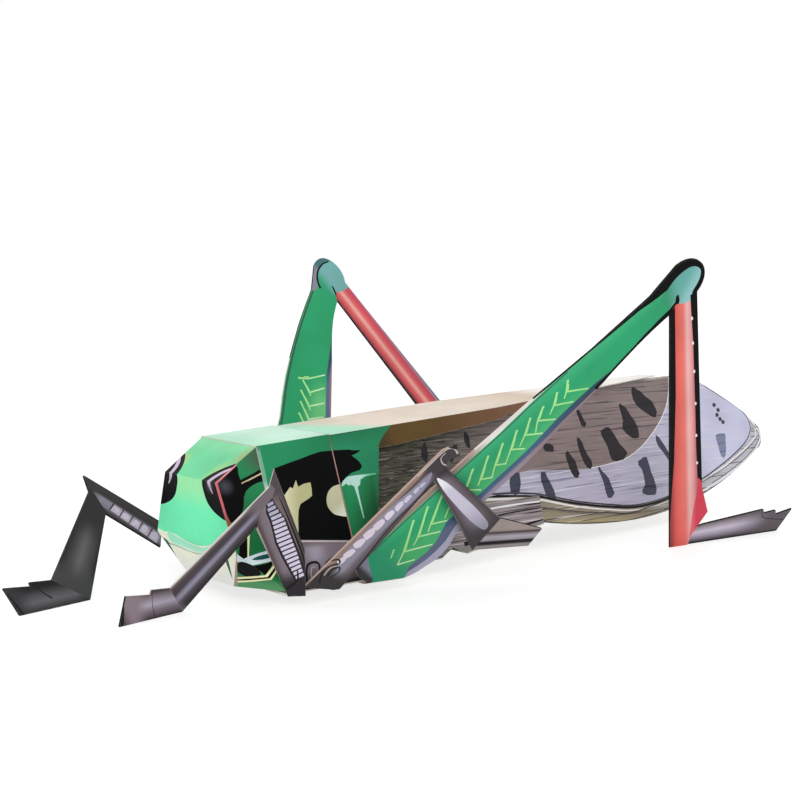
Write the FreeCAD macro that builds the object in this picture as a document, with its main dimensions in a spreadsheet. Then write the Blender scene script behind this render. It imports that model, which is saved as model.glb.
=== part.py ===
import FreeCAD, Part
import math
import os
from types import SimpleNamespace

import Sketcher
from FreeCAD import Matrix, Placement, Rotation, Vector

# A paper locust of printed card: a folded head, a saddle over the front of the back, one long
# back sheet, a belly plate with turned-up sides, a shallow abdomen tray, four wings laid
# together at the tail, and six legs of folded card strip glued under the belly.
# +X runs to the tail, +Y to the locust's right, +Z up. Stations along the body are measured
# from the collar, which is the saddle's front edge, and then set back by collar_x so that the
# origin lies on the table under the middle of the whole model. Millimetres throughout.

SIZES = {
    "card": 0.4,                    # thickness of one sheet
    "leg_card": 0.8,                # leg strips are doubled card
    "collar_x": -103.05,
    # body tube: a flat roof and two sides that lean out to the belly
    "roof_half": 16.5,
    "roof_height": 49.2,
    "roof_rise": 0.055,
    "side_lean": 0.39,
    "belly_height": 5.0,
    "saddle_length": 28.8,
    "thorax_length": 48.0,
    "lap": 4.0,                     # how far one sheet tucks under the next
    # head: brow, eye, jaw and chin folds, ahead of the collar
    "brow_ahead": 14.7,
    "brow_half": 15.2,
    "brow_height": 38.7,
    "eye_ahead": 13.9,
    "eye_height": 28.0,
    "jaw_ahead": 12.8,
    "jaw_height": 17.5,
    "chin_ahead": 7.5,
    "chin_half": 14.3,
    "chin_height": 4.6,
    # back sheet: the roof strip narrows to the tail
    "strip_full": 105.0,
    "strip_length": 206.0,
    "strip_tail_half": 3.4,
    "flap_depth": 6.5,
    "flap_end": 132.0,
    # belly plate
    "belly_length": 50.0,
    "gusset_start": 6.0,
    "gusset_end": 30.5,
    "gusset_front": 15.4,
    "gusset_rear": 12.5,
    # abdomen tray
    "tray_start": 42.0,
    "tray_bend": 83.0,
    "tray_end": 125.0,
    "tray_tail_height": 10.0,
    "tray_rim": 20.4,
    "arch_start": 70.0,
    "arch_height": 3.0,
    # wings: measured in their own plane from the wing pin at the roof edge
    "wing_pin": 56.0,
    "wing_pin_half": 15.1,
    "wing_pin_height": 52.0,
    "wing_toe_in": 0.073,
    "wing_lean": 0.245,
    "wing_front": 10.0,
    "wing_shoulder": 115.0,
    "wing_crest": 160.0,
    "wing_length": 214.7,
    "wing_depth": 41.0,
    "wing_sag": 4.6,                # how far the lower edge bows towards the tail
    "ply_reach": 4.8,
    "ply_drop": 2.5,
    "ply_sag": 3.0,
    "under_reach": 8.2,
    "under_drop": 5.3,
    "under_sag": 5.5,
    # legs
    "front_root_half": 35.6,
    "hind_root_left": 33.0,
    "hind_root_right": 45.0,
    "hind_root_half": 36.4,
    "knee_station": 112.2,
    "knee_half": 89.7,
    "knee_height": 90.5,
    "femur_width": 13.9,            # half width of the femur at its thick end
    "shin_width": 11.0,
    "hind_ankle": 171.0,
    "hind_ankle_half": 47.0,
    "hind_foot_start": 176.2,
    "hind_foot_length": 48.7,
}

doc = FreeCAD.newDocument("locust")
sheet = doc.addObject("Spreadsheet::Sheet", "Sizes")
for row, (alias, number) in enumerate(SIZES.items(), start=1):
    sheet.set(f"A{row}", alias)
    sheet.set(f"B{row}", str(number))
    sheet.setAlias(f"B{row}", alias)
doc.recompute()
v = SimpleNamespace(**{alias: float(getattr(sheet, alias)) for alias in SIZES})


class Size:
    """A length worked out from the sheet, with the expression that gives it."""

    def __init__(self, value, text):
        self.value = float(value)
        self.text = text

    def __add__(self, other):
        other = as_size(other)
        return Size(self.value + other.value, f"({self.text} + {other.text})")

    def __sub__(self, other):
        other = as_size(other)
        return Size(self.value - other.value, f"({self.text} - {other.text})")

    def __mul__(self, factor):
        factor = as_size(factor)
        return Size(self.value * factor.value, f"{self.text} * {factor.text}")

    def __neg__(self):
        return Size(-self.value, f"-1 * {self.text}")

    def __rsub__(self, other):
        return as_size(other) - self

    __radd__ = __add__
    __rmul__ = __mul__


def as_size(number):
    return number if isinstance(number, Size) else Size(number, f"({float(number)})")


s = SimpleNamespace(**{alias: Size(getattr(v, alias), f"Sizes.{alias}") for alias in SIZES})
nodes = []


# ---------------------------------------------------------------- flat pieces: sketch and pad

def new_body(label):
    body = doc.addObject("PartDesign::Body", label)
    body.Label = label
    nodes.append(body)
    return body


def bind_point(sketch, line, end, x, y):
    """Holds one end of a sketch line at x, y from the sketch's origin."""
    for direction, axis, place in (("DistanceX", -2, x), ("DistanceY", -1, y)):
        if abs(place.value) < 1e-9:
            sketch.addConstraint(Sketcher.Constraint("PointOnObject", line, end, axis))
            continue
        if place.value > 0:
            rule = Sketcher.Constraint(direction, -1, 1, line, end, place.value)
        else:
            rule = Sketcher.Constraint(direction, line, end, -1, 1, -place.value)
            place = -place
        index = sketch.addConstraint(rule)
        sketch.setExpression(f"Constraints[{index}]", place.text)


def draw(body, label, corners, plane="XY_Plane", lift=None):
    """Closed outline through the corners. A corner is (x, y), or (x, y, bulge) where the edge
    that leaves it bows to its right by bulge, kept as a radius."""
    sketch = body.newObject("Sketcher::SketchObject", label)
    support = [f for f in body.Origin.OriginFeatures if f.Role == plane][0]
    sketch.AttachmentSupport = (support, [""])
    sketch.MapMode = "FlatFace"
    if lift is not None:
        sketch.setExpression("AttachmentOffset.Base.z", lift.text)
    places = [(as_size(c[0]), as_size(c[1])) for c in corners]
    points = [Vector(x.value, y.value, 0) for x, y in places]
    ends = []
    for i, corner in enumerate(corners):
        start = points[i]
        stop = points[(i + 1) % len(points)]
        bulge = corner[2] if len(corner) > 2 else 0.0
        if bulge:
            chord = stop - start
            right = Vector(chord.y, -chord.x, 0).normalize()
            middle = (start + stop) * 0.5 + right * bulge
            edge = sketch.addGeometry(Part.Arc(start, middle, stop))
            radius = (chord.Length ** 2 / 4 + bulge ** 2) / (2 * abs(bulge))
            sketch.addConstraint(Sketcher.Constraint("Radius", edge, radius))
        else:
            edge = sketch.addGeometry(Part.LineSegment(start, stop))
        first_is_start = sketch.getPoint(edge, 1).distanceToPoint(start) < 1e-6
        ends.append((edge, 1, 2) if first_is_start else (edge, 2, 1))
    for i, (edge, first, last) in enumerate(ends):
        following = ends[(i + 1) % len(ends)]
        sketch.addConstraint(Sketcher.Constraint("Coincident", edge, last, following[0], following[1]))
        bind_point(sketch, edge, first, *places[i])
    return sketch


def pad(body, sketch, thickness, midplane=False, reverse=False):
    feature = body.newObject("PartDesign::Pad", sketch.Label + "_pad")
    feature.Profile = sketch
    feature.setExpression("Length", thickness.text)
    feature.Midplane = midplane
    feature.Reversed = reverse
    sketch.Visibility = False
    return feature


# ---------------------------------------------------------- folded pieces: facets of one sheet

def mirrored(points):
    return [Vector(p.x, -p.y, p.z) for p in points]


def plane_normal(points):
    total = Vector(0, 0, 0)
    for a, b in zip(points[1:], points[2:]):
        total += (a - points[0]).cross(b - points[0])
    return total.normalize()


def facet(points, thickness, inside=None):
    """One flat panel. Its thickness goes towards the inside point, or half each way."""
    normal = plane_normal(points)
    face = Part.Face(Part.makePolygon(points + [points[0]]))
    if inside is None:
        face.translate(normal * (-thickness / 2))
        return face.extrude(normal * thickness)
    if normal.dot(inside - points[0]) < 0:
        normal = -normal
    return face.extrude(normal * thickness)


def hollow(panels, openings, inside):
    """A convex shape of flat panels, one card thick, with nothing across its openings."""
    faces = [Part.Face(Part.makePolygon(points + [points[0]])) for points in panels + openings]
    outer = Part.Solid(Part.Shell(faces))
    room = Part.makeBox(200, 200, 200, inside - Vector(100, 100, 100))
    for points in panels:
        normal = plane_normal(points)
        if normal.dot(inside - points[0]) < 0:
            normal = -normal
        inner_plane = Part.Plane(points[0] + normal * v.card, normal)
        room = room.common(inner_plane.toShape().makeHalfSpace(inside))
    return outer.cut(room)


def fold(label, panels):
    """Joins the panels of one sheet at their folds into one solid, flat where it stands."""
    shape = panels[0]
    if len(panels) > 1:
        shape = shape.multiFuse(panels[1:])
    if shape.BoundBox.ZMin < 0:
        shape = shape.cut(under_table)
    shape = shape.removeSplitter()
    piece = doc.addObject("Part::Feature", label)
    piece.Label = label
    piece.Shape = shape.Solids[0] if len(shape.Solids) == 1 else shape
    piece.Placement = Placement(Vector(v.collar_x, 0, 0), Rotation())
    nodes.append(piece)
    return piece


class Skin:
    """The body tube's surface, moved inward by a depth: roof height, side and roof corner."""

    def __init__(self, depth):
        self.sink = depth * math.sqrt(1 + v.roof_rise ** 2)
        self.draw_in = depth * math.sqrt(1 + v.side_lean ** 2)

    def roof(self, x):
        return v.roof_height + v.roof_rise * x - self.sink

    def half(self, x, z):
        return v.roof_half + v.side_lean * (v.roof_height + v.roof_rise * x - z) - self.draw_in

    def at(self, x, z):
        return Vector(x, self.half(x, z), z)

    def corner(self, x, drop=0.0):
        return self.at(x, self.roof(x) - drop)


def foot_height(lean):
    """Where a leaning side starts, so that its inner corner just meets the belly plate."""
    return v.belly_height + v.card * lean / math.hypot(1, lean)


core = Vector(20, 0, 30)
under_table = Part.makeBox(1000, 1000, 10, Vector(-500, -500, -10))


# ------------------------------------------------------------------------------------ the head
# One sheet, folded across at the brow, eye line and jaw and along both cheeks. The cheeks carry
# on past the collar as a neck that the saddle slips over, and turn in under the jaw to the chin.

def head():
    skin = Skin(v.card)
    taper = (skin.half(0, v.brow_height) - v.brow_half) / v.brow_ahead

    def cheek_point(ahead, z):
        return Vector(-ahead, skin.half(0, z) - taper * ahead, z)

    crown = skin.corner(0)
    brow = cheek_point(v.brow_ahead, v.brow_height)
    eye = cheek_point(v.eye_ahead, v.eye_height)
    jaw = cheek_point(v.jaw_ahead, v.jaw_height)
    chin = Vector(-v.chin_ahead, v.chin_half, v.chin_height)
    throat = skin.at(0, foot_height(v.side_lean))
    neck_top = skin.corner(v.lap)
    neck_foot = skin.at(v.lap, foot_height(v.side_lean))

    def across(upper, lower):
        return [upper, lower] + mirrored([lower, upper])

    panels = [
        across(neck_top, crown),
        across(crown, brow),
        across(brow, eye),
        across(eye, jaw),
        across(jaw, chin),
    ]
    for side in (lambda points: points, mirrored):
        panels.append(side([crown, brow, eye, jaw, throat]))
        panels.append(side([jaw, throat, chin]))
        panels.append(side([crown, throat, neck_foot, neck_top]))
    openings = [across(chin, throat), across(throat, neck_foot), across(neck_foot, neck_top)]
    return fold("head", [hollow(panels, openings, Vector(-3, 0, 25))])


# ---------------------------------------------------------------------------------- the saddle
# The pronotum: an open-bottomed tube of one sheet with a flat roof, lofted from the collar to
# the seam because the roof rises on the way.

def saddle():
    body = new_body("pronotum_saddle")
    body.Placement = Placement(Vector(v.collar_x, 0, 0), Rotation())
    side_step = s.card * math.sqrt(1 + v.side_lean ** 2)
    corner_step = side_step - s.card * s.side_lean
    sections = []
    for name, station in (("collar", s.card * 0), ("seam", s.saddle_length)):
        height = s.roof_height + s.roof_rise * station
        foot = s.roof_half + s.side_lean * (height - s.belly_height)
        outer = [(foot, s.belly_height), (s.roof_half, height)]
        inner = [(s.roof_half - corner_step, height - s.card), (foot - side_step, s.belly_height)]
        corners = outer + [(-x, z) for x, z in reversed(outer)]
        corners += [(-x, z) for x, z in reversed(inner)] + inner
        sections.append(draw(body, name, corners, "YZ_Plane", station if station.value else None))
    loft = body.newObject("PartDesign::AdditiveLoft", "saddle_loft")
    loft.Profile = sections[0]
    loft.Sections = [sections[1]]
    loft.Ruled = True
    return body


# ------------------------------------------------------------------------------ the back sheet
# One sheet: the roof strip runs from under the saddle to the tail, narrowing from mid length.
# The thorax sides hang down to the belly, and behind them a short flap covers the wing roots.

def back_sheet():
    skin = Skin(v.card)
    start = v.saddle_length - v.lap
    wide = skin.corner(v.strip_full)
    tail = Vector(v.strip_length, v.strip_tail_half, skin.roof(v.strip_length))
    reach = (v.flap_end - v.strip_full) / (v.strip_length - v.strip_full)
    flap_end = wide + (tail - wide) * reach
    flap_low = skin.corner(v.strip_full, v.flap_depth * 0.62)
    roof = [skin.corner(start), wide, tail]
    rear_top = skin.corner(v.thorax_length, v.flap_depth)
    side_panel = [
        skin.corner(start),
        wide,
        flap_low,
        skin.corner(v.thorax_length + 9, v.flap_depth),
        rear_top,
        skin.at(v.thorax_length - 7.2, 22.3),
        skin.at(v.thorax_length - 8, foot_height(v.side_lean)),
        skin.at(start, foot_height(v.side_lean)),
    ]
    panels = [facet(roof + mirrored(roof[::-1]), v.card, core)]
    for side in (lambda points: points, mirrored):
        panels.append(facet(side(side_panel), v.card, core))
        panels.append(facet(side([wide, flap_end, flap_low]), v.card, core))
    return fold("back_sheet", panels)


# ------------------------------------------------------------------------------ the belly plate
# One sheet across the bottom of the tube, with a gusset turned up on each side of the saddle.

def belly_plate():
    outer = Skin(-v.card)
    under = v.belly_height - v.card
    front = outer.at(1.0, under)
    rear = outer.at(v.belly_length, under)
    panels = [facet([front, rear] + mirrored([rear, front]), v.card, core)]
    turn = foot_height(v.side_lean) - v.card
    gusset = [
        outer.at(v.gusset_start, turn),
        outer.at(v.gusset_end, turn),
        outer.at(v.gusset_end, under + v.gusset_rear),
        outer.at(v.gusset_start, under + v.gusset_front),
    ]
    for side in (lambda points: points, mirrored):
        panels.append(facet(side(gusset), v.card, core))
    return fold("belly_plate", panels)


# ---------------------------------------------------------------------------- the abdomen tray
# A shallow tray under the wings: two low sides, a level floor and a floor that rises to the
# tail. A small arch is cut in each side where the floor bends.

def wing_half(x, z, outward=0.0):
    """Half width of the wing planes at a station and height."""
    half = v.wing_pin_half - v.wing_toe_in * (x - v.wing_pin) + v.wing_lean * (v.wing_pin_height - z)
    return half + outward * math.sqrt(1 + v.wing_toe_in ** 2 + v.wing_lean ** 2)


def abdomen_tray():
    def at(x, z):
        return Vector(x, wing_half(x, z, v.card), z)

    low = foot_height(v.wing_lean)
    foot = at(v.tray_start, v.belly_height)
    arch_front = at(v.arch_start, v.belly_height)
    arch_top = (v.arch_start + v.tray_bend) / 2
    bend = at(v.tray_bend, v.belly_height)
    tail = at(v.tray_end, v.tray_tail_height)
    side_panel = [
        at(v.tray_start, low),
        at(v.arch_start, low),
        at(arch_top, low + v.arch_height),
        at(v.tray_bend, low),
        tail,
        at(v.tray_end, v.tray_rim),
        at(v.tray_start, v.tray_rim + 1.0),
    ]
    inside = Vector(80, 0, 30)
    panels = [
        facet([foot, arch_front] + mirrored([arch_front, foot]), v.card, inside),
        facet([bend, tail] + mirrored([tail, bend]), v.card, inside),
    ]
    strap = [Vector(p.x, p.y - 9, p.z) for p in (arch_front, bend)]
    panels.append(facet(strap + mirrored(strap[::-1]), v.card, inside))
    for side in (lambda points: points, mirrored):
        panels.append(facet(side(side_panel), v.card, inside))
    return fold("abdomen_tray", panels)


# ----------------------------------------------------------------------------------- the wings
# Flat sheets in one leaning plane on each side, which close on each other at the tail. The
# forewing is outermost. The hindwing is doubled, so its two edges show beyond the forewing's.

def wing_placement(side):
    """Sets a body's XY plane in the wing plane: its X along the wing, its Y up the wing."""
    normal = Vector(-v.wing_toe_in, 1, -v.wing_lean).normalize()
    along = (Vector(1, 0, 0) - normal * normal.x).normalize()
    up = along.cross(normal)
    along.y = -side * along.y
    up.y = -side * up.y
    out = along.cross(up)
    pin = Vector(v.wing_pin + v.collar_x, side * v.wing_pin_half, v.wing_pin_height)
    return Placement(Matrix(along.x, up.x, out.x, pin.x, along.y, up.y, out.y, pin.y,
                            along.z, up.z, out.z, pin.z, 0, 0, 0, 1))


def wing_corners(front, crown, reach, drop, sag):
    """One wing layer: from its front top corner, down, along the lower edge and round the tail.
    Reach and drop are how far it shows beyond the forewing at the tail and below."""
    return [
        (front - s.wing_front, -3.5 - crown),
        (front - s.wing_front - 9, -33 + front * 0.25),
        (s.wing_shoulder - 68, -29 - drop * 1.4),
        (s.wing_shoulder - 45, -31.4 - drop * 1.9, 1.2),
        (s.wing_shoulder + 10, -s.wing_depth - drop, sag),
        (s.wing_length + reach * 1.18 - 4.3, -21.2 - reach * 0.3, 4.1 - reach.value * 0.19),
        (s.wing_length + reach * 1.16 - 4.0, -7.8 - reach * 0.74, 0.3),
        (s.wing_crest + 25, 5.3 - crown, 1.7),
        (s.wing_crest, 9.7 - crown),
        (s.wing_shoulder, 7.4 - crown),
    ]


def forewing(label, side):
    body = new_body(label)
    body.Placement = wing_placement(side)
    none = s.card * 0
    sketch = draw(body, label + "_outline", wing_corners(none, none, none, none, v.wing_sag))
    pad(body, sketch, s.card, reverse=side < 0)
    return body


def hindwing(label, side):
    body = new_body(label)
    body.Placement = wing_placement(side)
    front = s.card * 0 + 20
    crown = s.card * 0 + 1
    layers = (
        ("outer", 1, s.ply_reach, s.ply_drop, v.ply_sag),
        ("under", 2, s.under_reach, s.under_drop, v.under_sag),
    )
    for name, depth, reach, drop, sag in layers:
        corners = wing_corners(front, crown, reach, drop, sag)
        sketch = draw(body, f"{label}_{name}", corners, lift=s.card * (side * depth))
        pad(body, sketch, s.card, reverse=side < 0)
    return body


# ------------------------------------------------------------------------------------ the legs
# Each leg is a flat strip of doubled card in a leaning plane through its root, knee and ankle.
# Its root turns in under the belly as a glue tab, and its foot is folded on at the ankle.

class LegPlane:
    """Plane of a leg. Along the upper leg u runs from root to knee, with w across it towards
    the upper side. Along the shin t runs from the knee to the ankle, with s across it."""

    def __init__(self, root, knee, ankle):
        self.root = root
        self.knee = knee
        self.u = (knee - root).normalize()
        self.t = (ankle - knee).normalize()
        self.normal = (knee - root).cross(ankle - root).normalize()
        self.w = self.normal.cross(self.u)
        if self.w.z < 0:
            self.w = -self.w
        self.s = self.normal.cross(self.t)
        if self.s.x < 0:
            self.s = -self.s

    def at(self, u, w):
        return self.root + self.u * u + self.w * w

    def near_knee(self, u, w):
        return self.knee + self.u * u + self.w * w

    def on_shin(self, t, s):
        return self.knee + self.t * t + self.s * s

    def at_station(self, x, z):
        """The point of the plane at a station and a height."""
        from_root = self.normal.x * (x - self.root.x) + self.normal.z * (z - self.root.z)
        return Vector(x, self.root.y - from_root / self.normal.y, z)

    def level(self, start, other, z):
        """Where the line from start through other meets the height z."""
        share = (z - start.z) / (other.z - start.z)
        return start + (other - start) * share


def strip(edges, plane, thickness):
    """A flat outline of lines and arcs in a leg's plane, thickened half each way."""
    face = Part.Face(Part.Wire(edges))
    face.translate(plane.normal * (-thickness / 2))
    return face.extrude(plane.normal * thickness)


def path(points):
    """Edges through points. A point given as a pair (middle, end) is reached by an arc."""
    edges = []
    here = points[0]
    for item in points[1:] + [points[0]]:
        if isinstance(item, tuple):
            middle, end = item
            edges.append(Part.Arc(here, middle, end).toShape())
        else:
            end = item
            edges.append(Part.LineSegment(here, end).toShape())
        here = end
    return edges


def belly_tab(first, second, side, thickness, reach=12.0):
    """Glue tab from the fold line between two points, inward under the belly plate."""
    inward = Vector(0, -side * reach, 0)
    return facet([first, second, second + inward, first + inward], thickness)


def small_leg(label, side, root, knee, outline, foot):
    """A front or middle leg. Outline holds the corners in the leg's plane, and foot the two
    toe corners as offsets from the ankle's two corners. The strip's front corner is raised
    by the root lift, and the glue tab takes up only a share of its width."""
    tab_z = v.belly_height - v.card - v.leg_card / 2
    ankle = outline["ankle"]
    plane = LegPlane(root, knee, ankle)
    lower = [plane.at(*place) for place in outline["lower_edge"]]
    upper = [plane.at(*place) for place in outline["upper_edge"]]
    fold_rear = plane.level(lower[-1], lower[-2], tab_z)
    fold_front = plane.level(upper[-1], upper[-2], tab_z)
    corner = plane.level(upper[-1], upper[-2], tab_z + outline["root_lift"])
    fold_front = fold_rear + (fold_front - fold_rear) * outline["tab_share"]
    instep = plane.on_shin(*outline["instep"])
    corners = [fold_rear] + lower[-2::-1] + [ankle, instep]
    corners += [plane.on_shin(*place) for place in outline["shin_top"]]
    corners += [plane.at(*place) for place in outline["shoulder"]]
    corners += upper[:-1] + [corner]
    if outline["tab_share"] < 1:
        corners.append(fold_front)
    panels = [strip(path(corners), plane, v.leg_card)]
    panels.append(belly_tab(fold_rear, fold_front, side, v.leg_card))
    toe = ankle + foot["toe"]
    tip = instep + foot["tip"]
    panels.append(notched_foot(ankle, toe, tip, instep, foot["notches"]))
    return fold(label, panels)


def notched_foot(heel, toe, tip, instep, notches):
    """A foot strip whose upper edge steps down at each notch, given as shares of its length."""
    along = tip - instep
    down = (toe - tip).normalize()
    upper = [instep]
    for share in notches:
        upper.append(instep + along * share - down * 0.5)
        upper.append(instep + along * (share + 0.01) + down * 0.9)
    upper.append(tip)
    points = [heel, toe] + upper[::-1]
    normal = (toe - heel).cross(instep - heel).normalize()
    flat = [p - normal * (p - heel).dot(normal) for p in points]
    return facet(flat, v.leg_card)


def front_leg(label, side, knee, heel, toe, tip, outline):
    """The two front legs are folded to different angles, the right one stepping forward. The
    left root is cut narrower above, and the right one is cut away below, behind the jaw."""
    root = Vector(1.7, side * v.front_root_half, v.belly_height)
    outline = {"ankle": heel, "root_lift": 0.0, "tab_share": 1.0, "shin_top": [], **outline}
    foot = {"toe": toe, "tip": tip, "notches": (0.45,)}
    return small_leg(label, side, root, knee, outline, foot)


def middle_leg(label, side, knee, ankle):
    """The knee strip ends in a hook, and the short foot clears the table. The right leg is
    folded lower than the left one."""
    outline = {
        "ankle": ankle,
        "root_lift": 2.2,
        "tab_share": 0.17,
        "lower_edge": [(46.1, -1.5), (0, -1.4)],
        "shin_top": [(5.7, 3.5)],
        "shoulder": [(52.0, -0.6), (54.5, 0.1), (57.3, -2.4), (58.4, 0.3), (57.6, 3.6)],
        "upper_edge": [(55.8, 5.0), (18.0, 9.0)],
        "instep": (35.8, 12.9),
    }
    root = Vector(17.0, side * v.hind_root_half, v.belly_height)
    foot = {
        "toe": Vector(19.2, side * 6.8, 0.1),
        "tip": Vector(17.2, side * -0.5, -3.2),
        "notches": (),
    }
    return small_leg(label, side, root, knee, outline, foot)


def hind_plane(side, root_station):
    root = Vector(root_station, side * v.hind_root_half, v.belly_height)
    knee = Vector(v.knee_station, side * v.knee_half, v.knee_height)
    return LegPlane(root, knee, Vector(v.hind_ankle, side * v.hind_ankle_half, 0))


def hind_leg(label, side, root_station, bow):
    """Femur and shin are cut as one, with a round knee cap and a spur above the ankle. The
    femur's upper edge bows by a little. The sole is drawn past the table, and fold trims it
    level."""
    plane = hind_plane(side, root_station)
    tab_z = v.belly_height - v.card - v.leg_card / 2
    width = v.femur_width
    fold_front = plane.at_station(root_station - 4.5, tab_z)
    fold_rear = plane.at_station(root_station + 11.0, tab_z)
    shoulder = plane.near_knee(-2.7, width)
    hip = plane.at(2.0, width)
    bulge = (shoulder + hip) * 0.5 + plane.w * bow
    edges = path([
        fold_front,
        fold_rear,
        (plane.at(16, 0.6 - width), plane.at(27, 1.5 - width)),
        (plane.at(45, 4.0 - width), plane.near_knee(-58.2, -9.1)),
        plane.near_knee(-31.0, -3.6),
        (plane.near_knee(-14.5, -0.5), plane.knee),
        plane.at_station(v.hind_ankle - 4.8, -v.leg_card),
        plane.at_station(v.hind_ankle + 4.0, -v.leg_card),
        plane.on_shin(113.5, 5.1),
        plane.on_shin(105.5, 13.3),
        plane.on_shin(90.4, v.shin_width),
        plane.on_shin(-3.7, v.shin_width),
        (plane.near_knee(17.5, 8.6), plane.near_knee(9.6, width + 2.0)),
        shoulder,
        (bulge, hip),
        (plane.at(-2.8, 9.5), plane.at(-2.6, 3.0)),
    ])
    panels = [strip(edges, plane, v.leg_card)]
    panels.append(belly_tab(fold_front, fold_rear, side, v.leg_card))
    return fold(label, panels)


def hind_foot(label, side, root_station):
    """A card strip glued to the inner face of the shin, notched twice towards the toe."""
    plane = hind_plane(side, root_station)
    inward = plane.normal if plane.normal.y * side < 0 else -plane.normal
    along = Vector(abs(inward.y), side * inward.x, 0).normalize()
    up = inward.cross(along)
    if up.z < 0:
        up = -up
    out = along.cross(up)
    heel = plane.at_station(v.hind_foot_start, 0) + inward * v.leg_card
    heel = heel - up * (heel.z / up.z) + Vector(v.collar_x, 0, 0)
    body = new_body(label)
    body.Placement = Placement(Matrix(along.x, up.x, out.x, heel.x, along.y, up.y, out.y, heel.y,
                                      along.z, up.z, out.z, heel.z, 0, 0, 0, 1))
    length = s.hind_foot_length
    sole = s.leg_card * (0.5 * abs(out.z) / up.z)
    sketch = draw(body, label + "_outline", [
        (-7.0, sole),
        (length, sole),
        (length + 3.2, 10.6),
        (length - 5.1, 8.8),
        (length - 6.3, 11.0),
        (length - 12.7, 10.3),
        (length - 13.9, 12.3),
        (3.2, 9.1),
        (-4.0, 6.9),
    ])
    pad(body, sketch, s.leg_card, midplane=True)
    return body


# -------------------------------------------------------------------------------- the assembly

head()
saddle()
back_sheet()
belly_plate()
abdomen_tray()
for word, side, hip_station, bow in (
    ("left", -1, v.hind_root_left, -0.5),
    ("right", 1, v.hind_root_right, 2.8),
):
    forewing(f"forewing_{word}", side)
    hindwing(f"hindwing_{word}", side)
    hind_leg(f"hind_leg_{word}", side, hip_station, bow)
    hind_foot(f"hind_foot_{word}", side, hip_station)
middle_leg("middle_leg_left", -1, Vector(39.5, -60, 43), Vector(65, -47, 12.3))
middle_leg("middle_leg_right", 1, Vector(49.5, 57.5, 35.5), Vector(81, 46.6, 10))
front_leg("front_leg_left", -1, Vector(-13.2, -40.3, 36.4), Vector(-27.8, -16.3, 0),
          Vector(-24.2, -4.5, 0), Vector(-16.9, -3.0, 0.5), {
              "lower_edge": [(26.9, -5.1), (0, -2.8)],
              "instep": (40.5, -7.9),
              "shoulder": [(35.8, -2.4), (38.9, 2.6)],
              "upper_edge": [(44.4, 5.9), (14.0, 6.7), (0, 3.0)],
          })
front_leg("front_leg_right", 1, Vector(-22.6, 47.7, 25.9), Vector(-42.7, 15.4, 0),
          Vector(-26.2, -5.2, 0), Vector(-17.5, -3.2, 0.5), {
              "lower_edge": [(29.5, -3.6), (7.2, -1.4), (8.8, 5.2), (0, 0.1)],
              "instep": (44.6, -14.2),
              "shoulder": [(38.3, 1.2)],
              "upper_edge": [(42.5, 6.6), (0, 11.3)],
          })

doc.recompute()
for item in doc.Objects:
    if "Invalid" in item.State or "Error" in item.State:
        raise RuntimeError(f"{item.Label} failed: {item.State}")
for node in nodes:
    if node.Shape.isNull() or not node.Shape.isValid() or not node.Shape.Solids:
        raise RuntimeError(f"{node.Label} has no valid solid")
os.makedirs("parts", exist_ok=True)
for node in nodes:
    node.Shape.exportStep(f"parts/{node.Label}.step")
    box = node.Shape.BoundBox
    print(f"{node.Label}: {len(node.Shape.Solids)} solid, {node.Shape.Volume:.0f} mm3,"
          f" x {box.XMin:.1f}..{box.XMax:.1f} y {box.YMin:.1f}..{box.YMax:.1f} z {box.ZMin:.1f}..{box.ZMax:.1f}")
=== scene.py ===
import math
from collections import namedtuple

import bmesh
import bpy
import numpy as np
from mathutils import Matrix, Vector, geometry
from mathutils.kdtree import KDTree


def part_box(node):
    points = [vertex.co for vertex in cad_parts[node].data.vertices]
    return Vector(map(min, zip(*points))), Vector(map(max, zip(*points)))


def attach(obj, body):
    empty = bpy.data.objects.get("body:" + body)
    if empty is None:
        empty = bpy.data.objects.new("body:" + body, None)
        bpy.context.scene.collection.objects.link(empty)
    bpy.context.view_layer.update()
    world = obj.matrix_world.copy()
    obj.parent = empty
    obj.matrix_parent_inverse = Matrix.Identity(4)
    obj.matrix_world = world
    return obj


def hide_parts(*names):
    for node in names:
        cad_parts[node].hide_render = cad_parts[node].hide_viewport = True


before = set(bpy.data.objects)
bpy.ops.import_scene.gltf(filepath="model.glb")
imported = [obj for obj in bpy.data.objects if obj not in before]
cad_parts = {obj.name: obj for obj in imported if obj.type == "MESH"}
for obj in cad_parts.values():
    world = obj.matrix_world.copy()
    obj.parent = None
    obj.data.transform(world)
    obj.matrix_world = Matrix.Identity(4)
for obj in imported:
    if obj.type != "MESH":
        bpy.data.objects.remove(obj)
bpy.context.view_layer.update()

# --------------------------------------------------------------------------------------- the head
# One sheet of printed card, scored and folded at the brow, the eye line, the jaw and both
# cheeks. Its print is laid on before folding, so each eye wraps round a cheek fold.

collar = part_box("pronotum_saddle")[0].x     # the saddle's front edge, where stations start


def stations(place):
    """A place in millimetres, measured along the body from the collar."""
    return Vector((place.x - collar, place.y, place.z)) * 1000


def tone(chart):
    """A colour as a paint chart gives it, three parts of 0 to 255, made linear for the shader."""
    linear = [((c / 255 + 0.055) / 1.055) ** 2.4 if c > 10 else c / 3300 for c in chart]
    return (*linear, 1.0)


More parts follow.
